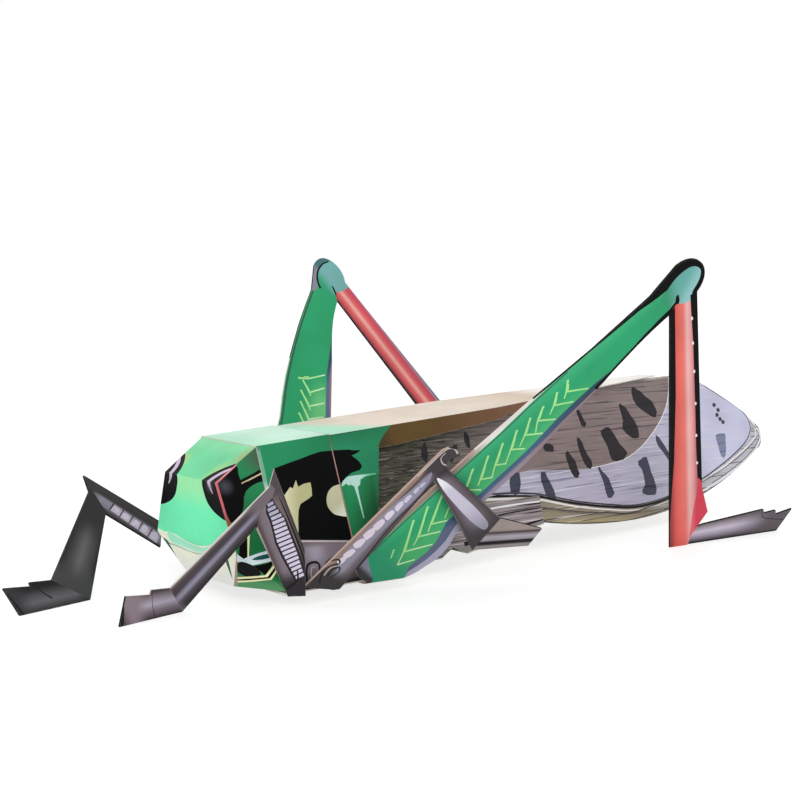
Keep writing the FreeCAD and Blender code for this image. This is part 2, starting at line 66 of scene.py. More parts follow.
class Wire:
    """A number or a colour on its way through a material's nodes."""

    def __init__(self, finish, socket):
        self.finish = finish
        self.socket = socket

    def math(self, operation, first, second):
        return self.finish.node("Math", {"operation": operation}, {0: first, 1: second})

    def __add__(self, other):
        return self.math("ADD", self, other)

    def __sub__(self, other):
        return self.math("SUBTRACT", self, other)

    def __rsub__(self, other):
        return self.math("SUBTRACT", other, self)

    def __mul__(self, other):
        return self.math("MULTIPLY", self, other)

    def __truediv__(self, other):
        return self.math("DIVIDE", self, other)

    __radd__ = __add__
    __rmul__ = __mul__

    def soft(self, low, high):
        """A mask that swells from 0 at low to 1 at high."""
        settings = {"interpolation_type": "SMOOTHSTEP"}
        ends = {"Value": self, "From Min": low, "From Max": high}
        return self.finish.node("MapRange", settings, ends)


class Finish:
    """The nodes of a material or of the world, and the surface that a material's end in."""

    def __init__(self, owner):
        owner.use_nodes = True
        self.owner = owner
        self.tree = owner.node_tree
        self.surface = self.tree.nodes.get("Principled BSDF")

    def feed(self, socket, value):
        if isinstance(value, Wire):
            self.tree.links.new(value.socket, socket)
        else:
            socket.default_value = value

    def node(self, kind, settings=None, sockets=None, output=0):
        made = self.tree.nodes.new("ShaderNode" + kind)
        for name, value in (settings or {}).items():
            if name == "stops":
                while len(made.color_ramp.elements) < len(value):
                    made.color_ramp.elements.new(1.0)
                for stop, (place, colour) in zip(made.color_ramp.elements, value):
                    stop.position = place
                    stop.color = colour
            else:
                setattr(made, name, value)
        for name, value in (sockets or {}).items():
            self.feed(made.inputs[name], value)
        return Wire(self, made.outputs[output])

    def mix(self, share, first, second, blend="MIX"):
        settings = {"data_type": "RGBA", "blend_type": blend}
        return self.node("Mix", settings, {0: share, 6: first, 7: second}, output=2)

    def noise(self, scale, detail=2.0, stretch=None):
        """Noise fixed to the piece. Scale counts its spots to a millimetre."""
        place = self.node("TexCoord", output="Object")
        if stretch is not None:
            settings = {"operation": "MULTIPLY"}
            place = self.node("VectorMath", settings, {0: place, 1: stretch})
        return self.node("TexNoise", None, {"Vector": place, "Scale": scale * 1000, "Detail": detail})

    def print_place(self):
        """Where a point lies on its printed sheet, in millimetres."""
        place = self.node("UVMap", {"uv_map": "print"})
        return (
            self.node("SeparateXYZ", None, {0: place}, output=0),
            self.node("SeparateXYZ", None, {0: place}, output=1),
        )


fold_radius = 0.00035   # how far round a fold or a cut edge the ink rubs thin
relief_height = 0.0001


def printed_card(name, colour, blends=(), gloss=0.47, fibres=1.0, sheen=0.2, wear=0.42):
    """Ink on smooth white card. The colour may be a function of the place on the print, and
    each blend is a second colour with a function that says where it shows. The ink lies a
    little unevenly, the card's fibres lift it, and it has rubbed thin at folds and cut edges."""
    finish = Finish(bpy.data.materials.new(name))
    if blends or callable(colour):
        across, up = finish.print_place()
    colour = colour(finish, across, up) if callable(colour) else tone(colour)
    for second, where in blends:
        colour = finish.mix(where(finish, across, up), colour, tone(second))
    grain = finish.noise(2.2, 3.0)
    cloud = finish.noise(0.045, 4.0)
    laid = finish.node("Mix", {"data_type": "FLOAT"}, {0: cloud.soft(0.3, 0.7), 2: 0.90, 3: 1.06})
    speck = 1.0 + (grain - 0.5) * (0.10 * fibres)
    level = laid * speck
    even = finish.node("CombineColor", None, {0: level, 1: level, 2: level})
    colour = finish.mix(1.0, colour, even, "MULTIPLY")
    softened = finish.node("Bevel", {"samples": 4}, {"Radius": fold_radius})
    facing = finish.node("NewGeometry", output="Normal")
    settings = {"operation": "DOT_PRODUCT"}
    turned = finish.node("VectorMath", settings, {0: softened, 1: facing}, output="Value")
    rubbed = (1.0 - turned).soft(0.01, 0.16) * finish.noise(0.4, 3.0).soft(0.35, 0.75)
    colour = finish.mix(rubbed * wear, colour, tone((214, 212, 200)))
    finish.feed(finish.surface.inputs["Base Color"], colour)
    rough = gloss + (cloud - 0.5) * 0.16 + (grain - 0.5) * 0.10 + rubbed * 0.25
    finish.feed(finish.surface.inputs["Roughness"], rough)
    finish.surface.inputs["Specular IOR Level"].default_value = sheen
    wave = finish.noise(0.028, 1.0)
    relief = wave * 6.0 + grain * 0.06
    sockets = {"Strength": 0.35, "Distance": relief_height, "Height": relief}
    finish.feed(finish.surface.inputs["Normal"], finish.node("Bump", None, sockets))
    return finish.owner


def spot(x, y, radius):
    """A soft round patch on the print."""

    def where(finish, across, up):
        offset = finish.node("CombineXYZ", None, {0: across - x, 1: up - y})
        reach = finish.node("VectorMath", {"operation": "LENGTH"}, {0: offset}, output="Value")
        return reach.soft(radius, 0.0)

    return where


def slope(run_x, run_y, start, end):
    """A soft change along a direction of the print."""

    def where(finish, across, up):
        return (across * run_x + up * run_y).soft(start, end)

    return where


def further(start, end):
    return slope(1, 0, start, end)


def nearer(start, end):
    return slope(-1, 0, -start, -end)


def higher(start, end):
    return slope(0, 1, start, end)


def lower(start, end):
    return slope(0, -1, -start, -end)


bare_card = printed_card("bare_card", (226, 224, 216), gloss=0.62, fibres=1.6)
cut_edge = printed_card("cut_edge", (205, 202, 192), gloss=0.75, fibres=2.5)

# A panel is a print: which faces it shows on, how it lies there, its ground ink and its shapes.
Panel = namedtuple("Panel", "shows flat ground shapes")
Shape = namedtuple("Shape", "ink outline turn", defaults=(None,))


def from_side(place):
    return place.x, place.z


def from_front(place):
    return place.y, place.z


def from_above(place):
    return place.x, place.y


def anywhere(normal, centre):
    return True


def faces_up(normal, centre):
    return normal.z > 0.9


def faces_aside(normal, centre):
    return abs(normal.z) < 0.9


def signed_area(outline):
    ends = outline[1:] + outline[:1]
    return sum(a[0] * b[1] - b[0] * a[1] for a, b in zip(outline, ends)) / 2


def print_panel(sheet, layer, slots, face, panel):
    """Cuts one flat panel of card along the edges of its print, a colour to each area."""
    corners = [stations(v.co) for v in face.verts]
    flat = [tuple(panel.flat(place)) for place in corners]
    lift = np.linalg.lstsq(np.array([[x, y, 1.0] for x, y in flat]), np.array(corners), rcond=None)[0]
    outward = Vector(np.cross(lift[0], lift[1])).dot(face.normal) > 0
    points = []
    loops = []
    for outline in [flat] + [list(shape.outline) for shape in panel.shapes]:
        if signed_area(outline) < 0:
            outline = outline[::-1]
        loops.append(list(range(len(points), len(points) + len(outline))))
        points.extend(Vector(point) for point in outline)
    cut = geometry.delaunay_2d_cdt(points, [], loops, 1, 1e-4, True)
    places, pieces, owners = cut[0], cut[2], cut[5]
    made = []
    for x, y in places:
        place = Vector(np.array([x, y, 1.0]) @ lift) / 1000
        made.append(sheet.verts.new((place.x + collar, place.y, place.z)))
    for piece, owner in zip(pieces, owners):
        if 0 not in owner:
            continue
        shape = panel.shapes[max(owner) - 1] if max(owner) else None
        ink = shape.ink if shape else panel.ground
        order = piece if outward else piece[::-1]
        area = sheet.faces.new([made[i] for i in order])
        area.material_index = slots.setdefault(ink, len(slots))
        for loop, i in zip(area.loops, order):
            place = tuple(places[i])
            loop[layer].uv = shape.turn(place) if shape and shape.turn else place


def weld(sheet):
    """Joins the cut panels at their folds, splitting each open edge where its neighbour's does."""
    for v in [v for v in sheet.verts if not v.link_faces]:
        sheet.verts.remove(v)
    bmesh.ops.remove_doubles(sheet, verts=sheet.verts, dist=2e-6)
    open_edges = [e for e in sheet.edges if len(e.link_faces) == 1]
    corners = list({v for e in open_edges for v in e.verts})
    tree = KDTree(len(corners))
    for i, v in enumerate(corners):
        tree.insert(v.co, i)
    tree.balance()
    for edge in open_edges:
        first, last = edge.verts
        span = last.co - first.co
        shares = set()
        for place, _, _ in tree.find_range((first.co + last.co) / 2, span.length / 2):
            share = (place - first.co).dot(span) / span.length_squared
            aside = (place - first.co - span * share).length
            if aside < 3e-6 and 1e-5 < share * span.length < span.length - 1e-5:
                shares.add(round(share, 7))
        done = 0.0
        start = first
        for share in sorted(shares):
            edge, start = bmesh.utils.edge_split(edge, start, (share - done) / (1 - done))
            edge = next(e for e in start.link_edges if e.other_vert(start) == last)
            done = share
    bmesh.ops.remove_doubles(sheet, verts=sheet.verts, dist=3e-6)


def card_piece(node, panels, thickness=0.4, core=None, rim=None, trim=None):
    """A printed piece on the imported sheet's own shape. A flat face takes the first panel that
    shows on it. With a core, only faces that look away from it are printed. The narrow faces
    round the rim are the cut edge of the card, and rim can choose their ink by place. A trim
    moves the sheet's corners, where the real edge is cut a little differently."""
    source = bmesh.new()
    source.from_mesh(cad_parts[node].data)
    for v in source.verts if trim else ():
        place = trim(stations(v.co)) / 1000
        v.co = (place.x + collar, place.y, place.z)
    bmesh.ops.remove_doubles(source, verts=source.verts, dist=1e-6)
    bmesh.ops.dissolve_limit(
        source, angle_limit=math.radians(0.3), use_dissolve_boundaries=False,
        verts=source.verts, edges=source.edges)
    bmesh.ops.recalc_face_normals(source, faces=source.faces)
    sheet = bmesh.new()
    layer = sheet.loops.layers.uv.new("print")
    slots = {}
    for face in source.faces:
        middle = stations(face.calc_center_median())
        width = 2000 * face.calc_area() / face.calc_perimeter()     # of a long face, in mm
        narrow = width < thickness * 1.08
        outside = core is None or face.normal.dot(middle - Vector(core)) > 0
        printed = outside and not narrow
        chosen = [p for p in panels if printed and p.shows(face.normal, middle)]
        if not chosen:
            level = Vector((0, 0, 1)).cross(face.normal)
            level = level.normalized() if level.length > 0.2 else Vector((1, 0, 0))
            rise = face.normal.cross(level)
            plain = lambda place, a=level, b=rise: (place.dot(a), place.dot(b))
            edge_ink = rim(middle) if rim else cut_edge
            chosen = [Panel(None, plain, edge_ink if narrow else bare_card, [])]
        print_panel(sheet, layer, slots, face, chosen[0])
    weld(sheet)
    mesh = bpy.data.meshes.new(node)
    sheet.to_mesh(mesh)
    piece = bpy.data.objects.new("card_" + node, mesh)
    bpy.context.scene.collection.objects.link(piece)
    for ink in slots:
        mesh.materials.append(ink)
    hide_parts(node)
    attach(piece, "root")
    return piece


def rounded(points, steps=4, closed=True):
    """A smooth line through the points."""
    count = len(points)
    line = []
    for i in range(count if closed else count - 1):
        around = [i - 1, i, i + 1, i + 2]
        around = [j % count if closed else min(max(j, 0), count - 1) for j in around]
        a, b, c, d = (Vector(points[j]) for j in around)
        for k in range(steps):
            t = k / steps
            line.append(tuple(
                b + (c - a) * (t / 2) + (2 * a - 5 * b + 4 * c - d) * (t * t / 2)
                + (3 * b - a - 3 * c + d) * (t ** 3 / 2)))
    return line if closed else line + [tuple(points[-1])]


def stroke(points, width, end=None):
    """Outline of a brush stroke, which narrows evenly from its width to its end width."""
    points = [Vector(p) for p in points]
    end = width if end is None else end
    left = []
    right = []
    for i, place in enumerate(points):
        before = points[max(i - 1, 0)]
        after = points[min(i + 1, len(points) - 1)]
        run = (after - before).normalized()
        half = (width + (end - width) * i / (len(points) - 1)) / 2
        left.append(tuple(place + Vector((-run.y, run.x)) * half))
        right.append(tuple(place - Vector((-run.y, run.x)) * half))
    return left + right[::-1]


def line(points, width, end=None):
    """Outline of a smooth brush stroke through the points."""
    return stroke(rounded(points, 4, closed=False), width, end)


def drawn(ink, points, width, end=None):
    return Shape(ink, line(points, width, end))


def mirrored(outline):
    return [(-x, y) for x, y in outline]


ink_black = printed_card("ink_black", (9, 9, 11), gloss=0.5, sheen=0.05, wear=0.2)
# Black eye ink with a painted sheen: a soft grey patch in the black.
ink_eye_and_sheen = printed_card(
    "ink_eye_and_sheen", (8, 8, 10), [((70, 70, 80), spot(-11.8, 37.4, 3.4))],
    gloss=0.4, sheen=0.06, wear=0.2)
ink_glint = printed_card(
    "ink_glint", (206, 188, 212),
    [((128, 116, 138), spot(11.2, 36, 2.2)), ((128, 116, 138), spot(-11.2, 36, 2.2))])
ink_rim_pink = printed_card(
    "ink_rim_pink", (214, 104, 114),
    [((150, 84, 52), lower(30.5, 26.5)), ((232, 150, 156), higher(37, 43))])
ink_mint = printed_card("ink_mint", (180, 236, 204), [((204, 240, 220), further(2, 16))])
ink_forehead = printed_card(
    "ink_forehead", (112, 216, 158),
    [((178, 220, 136), spot(-11, 40, 6)), ((140, 226, 172), higher(44, 49)),
     ((196, 208, 128), spot(13, 41, 5)), ((158, 186, 126), spot(-15, 46, 5))])
ink_face = printed_card(
    "ink_face", (118, 250, 190),
    [((200, 242, 164), spot(-6, 37.6, 6)), ((196, 240, 160), spot(7, 38, 5)),
     ((160, 240, 176), higher(27, 37))])
ink_chin_mint = printed_card("ink_chin_mint", (168, 250, 216), [((240, 255, 238), lower(15.6, 12.6))])
ink_cream = printed_card("ink_cream", (255, 255, 232), [((255, 255, 250), lower(14, 5))])
# Brown ink: a line along the jaw, and painted shade at the saddle's rear edge on the roof.
ink_brown_line_and_edge_shade = printed_card("ink_brown_line_and_edge_shade", (104, 128, 96))
ink_deep_green = printed_card("ink_deep_green", (20, 84, 66))
ink_cheek = printed_card(
    "ink_cheek", (28, 132, 80),
    [((66, 88, 70), spot(1, 46, 9)), ((18, 116, 62), lower(36, 30)),
     ((84, 154, 100), lower(10, 6))])
ink_beige = printed_card("ink_beige", (206, 192, 146))
ink_pale_blue = printed_card("ink_pale_blue", (220, 236, 242))
ink_teal_dark = printed_card("ink_teal_dark", (16, 80, 78))
ink_lemon = printed_card("ink_lemon", (250, 246, 190))
ink_blush = printed_card("ink_blush", (176, 152, 146), [((232, 158, 160), spot(-11.6, 15.5, 3.4))])

brow_z = 38.7
near_eye = rounded([
    (17.5, 44.6), (12.6, 42.9), (8.9, 40.4), (7.5, 37.9), (8.2, 34.8), (10.2, 31.4), (14.4, 28.8),
    (20.5, 27.2), (27, 28), (28, 38), (24, 45)])
glint = rounded([
    (17, 43.5), (13.4, 42), (11.3, 40.2), (10.7, 38.6), (11.2, 37.2), (12.6, 35.6), (13.6, 35),
    (12.7, 37), (12.5, 38.8), (13.6, 40.6), (16, 42.4)], 3)
chin_line = [
    (23.5, 18.6), (19.9, 18), (14.4, 18.3), (9.7, 17.6), (5, 16.6), (0.5, 16.2), (-3.8, 16.6),
    (-9.4, 17.8), (-14, 19.2), (-18.3, 21), (-24, 23.5)]
chin_low = [(-24, 1), (24, 1)]
pale_chin = rounded([
    (17, 18.3), (10, 17.2), (2, 15.8), (-4, 16), (-10, 17.6), (-9, 15.4), (-2, 13.4), (4, 13),
    (10, 13.6), (17, 14.4)], 3)
jaw_seam = rounded([(20, 13.9), (14, 13.7), (8, 13.1), (2, 13), (-3, 13.8)], 3, closed=False)
right_spike = [
    (24, 15.6), (20.6, 15.3), (19.2, 14.6), (18.6, 12), (17.2, 8), (15.6, 4), (17, 2), (26, 8)]
left_spike = [
    (-15.3, 15.8), (-16.9, 15.6), (-17.3, 14), (-16.6, 11.4), (-15.6, 8.3), (-15.1, 6.6), (-15.1, 11.2)]
front_print = [
    Shape(ink_cream, rounded(chin_line, 3, closed=False) + chin_low),
    Shape(ink_chin_mint, pale_chin),
    Shape(ink_brown_line_and_edge_shade, stroke(jaw_seam, 0.35, 0.15)),
    Shape(ink_eye_and_sheen, near_eye),
    Shape(ink_eye_and_sheen, mirrored(near_eye)),
    Shape(ink_glint, glint),
    Shape(ink_glint, mirrored(glint)),
    Shape(ink_deep_green, right_spike),
    Shape(ink_deep_green, left_spike),
]

black_stripe = [(-6.9, 39.1), (-6.9, 38.1), (-2.9, 39.7), (1.4, 41.5), (1.4, 42.8), (-2.7, 40.8)]
beige_stripe = [(-6.9, 38.2), (-6.9, 37.4), (-3.1, 39), (1.4, 40.9), (1.4, 41.6), (-2.9, 39.8)]
under_stripe = rounded([
    (-7.2, 37.6), (-3.9, 38.9), (1.6, 41), (1.6, 38.9), (-1, 38.2), (-3.5, 37.3), (-5.8, 35.7),
    (-7.3, 33.1), (-8.4, 32.2), (-8.1, 35)], 2)
cheek_eye = rounded([
    (-7.3, 43.6), (-7, 40.8), (-6.7, 38.3), (-6.7, 35.4), (-7.2, 32.4), (-8.3, 29.6), (-10, 27.7),
    (-12.4, 26.6), (-14.6, 26.4), (-17, 32), (-17, 40), (-13, 42)])
eye_rim = [
    (-6.4, 44.6), (-7.2, 43.4), (-13.9, 38.5), (-13.2, 29), (-12.2, 25.6), (-13.6, 25.2),
    (-14.6, 28), (-15.4, 38.9)]
cheek_bar = [(-11.2, 20), (-8.6, 22), (-9.6, 16.8), (-10.1, 15.2), (-12.6, 15.4)]
cheek_line = [(-8.3, 22.6), (-7.5, 22.9), (-9.3, 16.2), (-9.9, 15.2)]
lens = rounded([
    (-12.3, 15.2), (-9.2, 16.3), (-5.1, 17.3), (-2.4, 17.5), (-1.9, 16), (-2.6, 14.6), (-5.2, 14.1),
    (-9.4, 13.7), (-12, 14.4)], 3)
lens_dark = rounded([(-8.5, 15.3), (-6.4, 16.2), (-2.7, 16.7), (-2.5, 15.7), (-5.6, 15.1)], 3)
cheek_patch = rounded([
    (-10.8, 14.2), (-8.9, 13.5), (-4.7, 13.8), (-2.2, 14.7), (-2.6, 13.6), (-4.4, 11.6),
    (-6.6, 9.6), (-9, 9), (-10.6, 11)], 3)
high_whisker = [
    (-0.6, 15.6), (-1.6, 13.9), (-2.9, 12.4), (-4.6, 10.8), (-6.4, 9.3), (-9, 7.8), (-11.4, 8),
    (-12.6, 9.4)]
low_whisker = [(-0.8, 13.6), (-1.9, 11.7), (-3.6, 9.8), (-5.4, 8.3), (-7.2, 7), (-9.9, 6), (-12.4, 6.4)]
whisker_gap = [(-0.8, 14.6), (-2, 12.6), (-3.4, 11), (-5.2, 9.4), (-7, 8.1), (-9.4, 6.9), (-12, 7.2)]
whiskers = [
    Shape(ink_black, stroke(rounded(whisker_gap, 3, closed=False), 1.3, 0.9)),
    Shape(ink_lemon, stroke(rounded(high_whisker, 3, closed=False), 0.5, 1.1)),
    Shape(ink_lemon, stroke(rounded(low_whisker, 3, closed=False), 0.4, 1))]
cheek_print = [
    Shape(ink_black, black_stripe),
    Shape(ink_beige, beige_stripe),
    Shape(ink_black, under_stripe),
    Shape(ink_eye_and_sheen, cheek_eye),
    Shape(ink_rim_pink, eye_rim),
    Shape(ink_black, cheek_bar),
    Shape(ink_lemon, cheek_line),
    Shape(ink_pale_blue, lens),
    Shape(ink_teal_dark, lens_dark),
    Shape(ink_black, cheek_patch),
] + whiskers
jowl_print = [
    Shape(ink_pale_blue, [(-12.6, 17.3), (-8.6, 13.4), (-9.6, 12.9), (-11.6, 14.7)]),
    Shape(ink_black, rounded([(-11, 14.4), (-9, 13.8), (-6.4, 11), (-6.6, 8.6), (-9.6, 10.6)], 3)),
] + whiskers + [
    Shape(ink_blush, [(-13.4, 18.2), (-12.2, 16.3), (-7.2, 5.2), (-8.2, 4.3)]),
]

card_piece("head", [
    Panel(lambda n, c: abs(n.y) < 0.3 and n.z > 0.9, from_above, ink_mint, []),
    Panel(lambda n, c: abs(n.y) < 0.3 and c.z > brow_z, from_front, ink_forehead, front_print),
    Panel(lambda n, c: abs(n.y) < 0.3, from_front, ink_face, front_print),
    Panel(lambda n, c: c.x > 0, from_side, ink_cheek, []),
    Panel(lambda n, c: n.z < -0.5, from_side, ink_cheek, jowl_print),
    Panel(anywhere, from_side, ink_cheek, cheek_print),
], core=(-3, 0, 25))

# ------------------------------------------------------------------------------------- the saddle
# The pronotum: one sheet folded into a flat roof and two leaning sides, slipped over the neck
# and over the front of the back sheet. A pale band along its front edge is a painted highlight.

ink_side_green = printed_card("ink_side_green", (31, 140, 92), [((26, 126, 80), slope(1, 0.2, 20, 45))])
ink_sage = printed_card(
    "ink_sage", (198, 196, 146),
    [((214, 210, 176), further(20, 24)), ((252, 250, 238), slope(0.5, -1, -16.5, -11.5))])
ink_leaf = printed_card("ink_leaf", (200, 198, 148), [((232, 230, 190), slope(-1, 0.2, -6, 1))])
ink_seam_pink = printed_card("ink_seam_pink", (186, 134, 128), [((96, 84, 70), higher(43, 49))])
# Painted highlight along the saddle's front edge: palest low down, darkest up by the roof.
ink_collar_highlight = printed_card(
    "ink_collar_highlight", (112, 176, 148),
    [((238, 248, 240), lower(39, 34)), ((70, 110, 92), higher(47, 49.5))])

dark_patch = rounded([
    (4.6, 41.9), (9.6, 42.9), (15.4, 44), (20.8, 45.1), (24.5, 45.6), (30, 45.5),
    (35.4, 45.3)], 3, closed=False)
dark_patch += [
    (37.3, 44.9), (40.4, 44.7), (38.6, 43.9), (36.2, 43.3), (37.7, 42.1), (38.8, 41), (39.4, 39.6),
    (38.2, 38.5), (34.6, 37.9), (32, 36.8), (30.2, 35.6), (28.9, 34.6), (28.9, 12), (6, 12),
    (5.6, 22), (3, 30), (2.6, 38)]
sage_leaf = [
    (4.2, 30), (6.5, 33.6), (9.2, 35.8), (10.2, 35.3), (12, 37.7), (12.3, 35.6), (14.6, 36.3),
    (17.3, 36.5), (17.2, 34.4), (16.8, 32.4), (15.4, 31.7), (13.7, 31.1), (11.7, 30.3),
    (10.5, 28.6), (9.6, 26), (8.6, 22), (3, 22)]
sage_oval = rounded([
    (31, 34.4), (28, 34.8), (25.4, 34.3), (23.4, 33), (22.1, 31), (21.8, 28.9), (22.8, 26.8),
    (25.2, 25.4), (31, 25.2)], 3)
saddle_print = [
    Shape(ink_black, dark_patch),
    Shape(ink_leaf, sage_leaf),
    Shape(ink_sage, sage_oval),
    Shape(ink_seam_pink, [(28.3, 17), (29.4, 17), (29.4, 51.4), (28.4, 51.4)]),
    Shape(ink_collar_highlight, [(-0.5, 33), (0.9, 33.5), (1.3, 40), (1.1, 49.8), (-0.5, 49.8)]),
]
# Painted shade: a thin brown line along the saddle's rear edge, where it steps onto the back sheet.
roof_edge_shade = [Shape(ink_brown_line_and_edge_shade, [(28.6, -17), (29, -17), (29, 17), (28.6, 17)])]
card_piece("pronotum_saddle", [
    Panel(faces_up, from_above, ink_mint, roof_edge_shade),
    Panel(anywhere, from_side, ink_side_green, saddle_print),
], core=(20, 0, 30))

# --------------------------------------------------------------------------------- the back sheet
# One long sheet: a roof strip that narrows to the tail, with the thorax sides folded down in
# front and a low flap behind them, which the wing roots tuck under and are glued to.

ink_back = printed_card(
    "ink_back", (182, 234, 206),
    [((232, 218, 202), slope(1, 0.55, 36, 50)), ((206, 182, 158), further(95, 150)),
     ((244, 238, 232), further(130, 148))])
ink_thorax = printed_card("ink_thorax", (36, 140, 96), [((30, 128, 86), higher(46, 50))])
ink_thorax_deep = printed_card(
    "ink_thorax_deep", (36, 146, 92),
    [((10, 74, 36), slope(0.75, -0.5, 8, 19)), ((26, 122, 76), further(41, 44))])
ink_frost = printed_card(
    "ink_frost", (196, 236, 224),
    [((110, 196, 164), further(37, 43)), ((150, 216, 196), lower(30, 24))])
ink_flap = printed_card(
    "ink_flap", (96, 70, 32),
    [((74, 56, 26), nearer(56, 50)), ((118, 82, 58), further(70, 110))])
ink_edge_dark = printed_card("ink_edge_dark", (30, 42, 32), sheen=0.08)

frost_branch = [
    (29.2, 34), (30.3, 35.6), (31.6, 36.4), (33, 36.9), (36.3, 37), (44.4, 37), (44.4, 36.6),
    (39.8, 36.3), (37.5, 35.5), (36.8, 33.9), (35.7, 33.3), (35.5, 30.8), (35.5, 23.4), (35, 23.4),
    (34.7, 30.1), (34.3, 33.6), (33.1, 34.3), (32.2, 34), (31.4, 34.8), (30.3, 34.3)]
deep_green = [(28.5, 34.9), (30.2, 36.2), (33.4, 37), (44.4, 36.9), (50, 36), (46, 4), (28, 4)]
flap_area = [
    (47.6, 44.9), (49.2, 47), (51.6, 49.1), (54.8, 51.4), (57.9, 52.8), (140, 58), (140, 44), (60, 44)]
thorax_print = [
    Shape(ink_thorax_deep, deep_green),
    Shape(ink_black, dark_patch),
    Shape(ink_frost, frost_branch),
    Shape(ink_flap, flap_area),
    Shape(ink_edge_dark, [(24, 49.8), (24, 51.4), (60, 53.4), (60, 52)]),
]
card_piece("back_sheet", [
    Panel(faces_up, from_above, ink_back, []),
    Panel(anywhere, from_side, ink_thorax, thorax_print),
], core=(20, 0, 30))

# -------------------------------------------------------------------------------- the belly plate
# One sheet across the bottom of the tube. A low gusset is turned up on each side and glued to
# the saddle; it is printed with the roots of the legs as dark loops.

ink_gusset = printed_card(
    "ink_gusset", (140, 126, 136),
    [((178, 170, 186), spot(13, 15, 6)), ((92, 80, 88), lower(11, 7)),
     ((30, 30, 32), lower(7, 5.4)), ((118, 104, 110), higher(16.4, 19))])
# Near-black ink for printed lines and marks, also the painted shadow under the forewing's edge.
ink_dark_and_shadow = printed_card("ink_dark_and_shadow", (30, 28, 31), sheen=0.08, wear=0.2)
# Pale ink for printed lines, also a painted highlight along the gusset's top edge.
ink_pale_line_and_highlight = printed_card("ink_pale_line_and_highlight", (204, 190, 190))


gusset_print = [
    # The first mark, a pale line along the gusset's top edge, is a painted highlight.
    Shape(ink_pale_line_and_highlight, [(4, 20.6), (4, 19.6), (31, 16.5), (31, 17.5)]),
    drawn(ink_dark_and_shadow, [
        (7.6, 5.2), (7.6, 8.6), (8.7, 11.7), (10.6, 12.6), (12.7, 12.4), (13.3, 11), (12, 8.2),
        (10.8, 5.6)], 0.8, 0.7),
    drawn(ink_pale_line_and_highlight, [(9.4, 6), (9.6, 9.4), (10.4, 11.2), (11.6, 11)], 0.5, 0.2),
    drawn(ink_dark_and_shadow, [(12.6, 5.6), (14.4, 9.6), (16.6, 11.9), (19.6, 13), (23.4, 13)], 0.9, 1),
    drawn(ink_pale_line_and_highlight, [(14.3, 6.6), (16.4, 9.6), (19.2, 11.2)], 0.8, 0.3),
    drawn(ink_dark_and_shadow, [(14.6, 5.6), (17.6, 8.6), (21.6, 9.9), (26, 9.6)], 0.8, 1.2),
    drawn(ink_pale_line_and_highlight, [(16.6, 6), (19, 7.6), (22, 8.3)], 0.6, 0.2),
]
card_piece("belly_plate", [
    Panel(lambda n, c: n.z > -0.9, from_side, ink_gusset, gusset_print),
], core=(20, 0, 30))

# -------------------------------------------------------------------------------------- the wings
# Flat printed sheets that lean in to each other and close at the tail. A forewing lies over a
# doubled hindwing, whose two edges show below it and beyond its tip.

pin_station, pin_half, pin_height = 56, 15.1, 52.0    # the wing pin, at the roof's edge
toe_in, wing_lean = 0.073, 0.245
wing_normal = Vector((toe_in, 1, wing_lean)).normalized()
along_wing = (Vector((1, 0, 0)) - wing_normal * wing_normal.x).normalized()
up_wing = along_wing.cross(wing_normal)


def on_wing(place):
    """Along and up the wing from its pin, the same on either side."""
    offset = Vector((place.x - pin_station, abs(place.y) - pin_half, place.z - pin_height))
    return offset.dot(along_wing), offset.dot(up_wing)


def faces_out(normal, centre):
    return normal.y * centre.y > 0


def pen_marks(finish, along, over, detail, roughness):
    """Uneven marks, drawn out as far as the first scale is smaller than the second."""
    place = finish.node("CombineXYZ", None, {0: along, 1: over})
    kind = {"Vector": place, "Scale": 1.0, "Detail": detail, "Roughness": roughness}
    return finish.node("TexNoise", None, kind)


def ruling(density, start, end, shift=0.0):
    """Fine uneven lines along the wing, as a pen would rule them."""

    def where(finish, across, up):
        return pen_marks(finish, across * 0.02, up * density + shift, 2.0, 0.6).soft(start, end)

    return where


def scribble(finish, across, up):
    """Short dark pen strokes, dense at the wing's root and gone by a third of its length."""
    marks = pen_marks(finish, across * 0.11, up * 1.3, 5.0, 0.75)
    return marks.soft(0.46, 0.58) * (1.0 - across.soft(4.0, 62.0))


def white_scribble(finish, across, up):
    """Thin white scratches over the dark root."""
    marks = pen_marks(finish, across * 0.09 + 7.0, up * 1.5 + 3.0, 4.0, 0.8)
    return marks.soft(0.61, 0.66) * (1.0 - across.soft(2.0, 34.0)) * 0.6


ruled = ruling(1.1, 0.57, 0.62)
pale_ruled = ruling(1.3, 0.57, 0.64, 31)


def ruled_thin(finish, across, up):
    """The dark ruling where the wing is pale, which stops short of the tip."""
    return ruled(finish, across, up) * across.soft(172, 150) * 0.8


ink_wing = printed_card(
    "ink_wing", (134, 120, 118),
    [((82, 78, 66), nearer(58, 0)), ((88, 66, 34), spot(-2, 2, 16)),
     ((152, 136, 134), pale_ruled), ((88, 78, 80), ruled), ((34, 34, 28), scribble),
     ((206, 206, 190), white_scribble)], gloss=0.5)
ink_wing_pale = printed_card(
    "ink_wing_pale", (182, 180, 200),
    [((200, 201, 226), further(140, 175)), ((212, 210, 224), pale_ruled),
     ((128, 126, 146), ruled_thin)], gloss=0.5)
ink_bar = printed_card("ink_bar", (46, 42, 46), [((34, 32, 36), ruled)], sheen=0.1)
ink_bar_blue = printed_card("ink_bar_blue", (70, 72, 88), [((46, 48, 62), ruled)], sheen=0.1)
ink_bar_faint = printed_card("ink_bar_faint", (124, 130, 158), [((88, 92, 118), ruled)])
ink_wing_line = printed_card("ink_wing_line", (58, 55, 64))
# White ink for printed lines, also the painted highlight below the forewing's edge.
ink_white_and_highlight = printed_card("ink_white_and_highlight", (236, 234, 236))

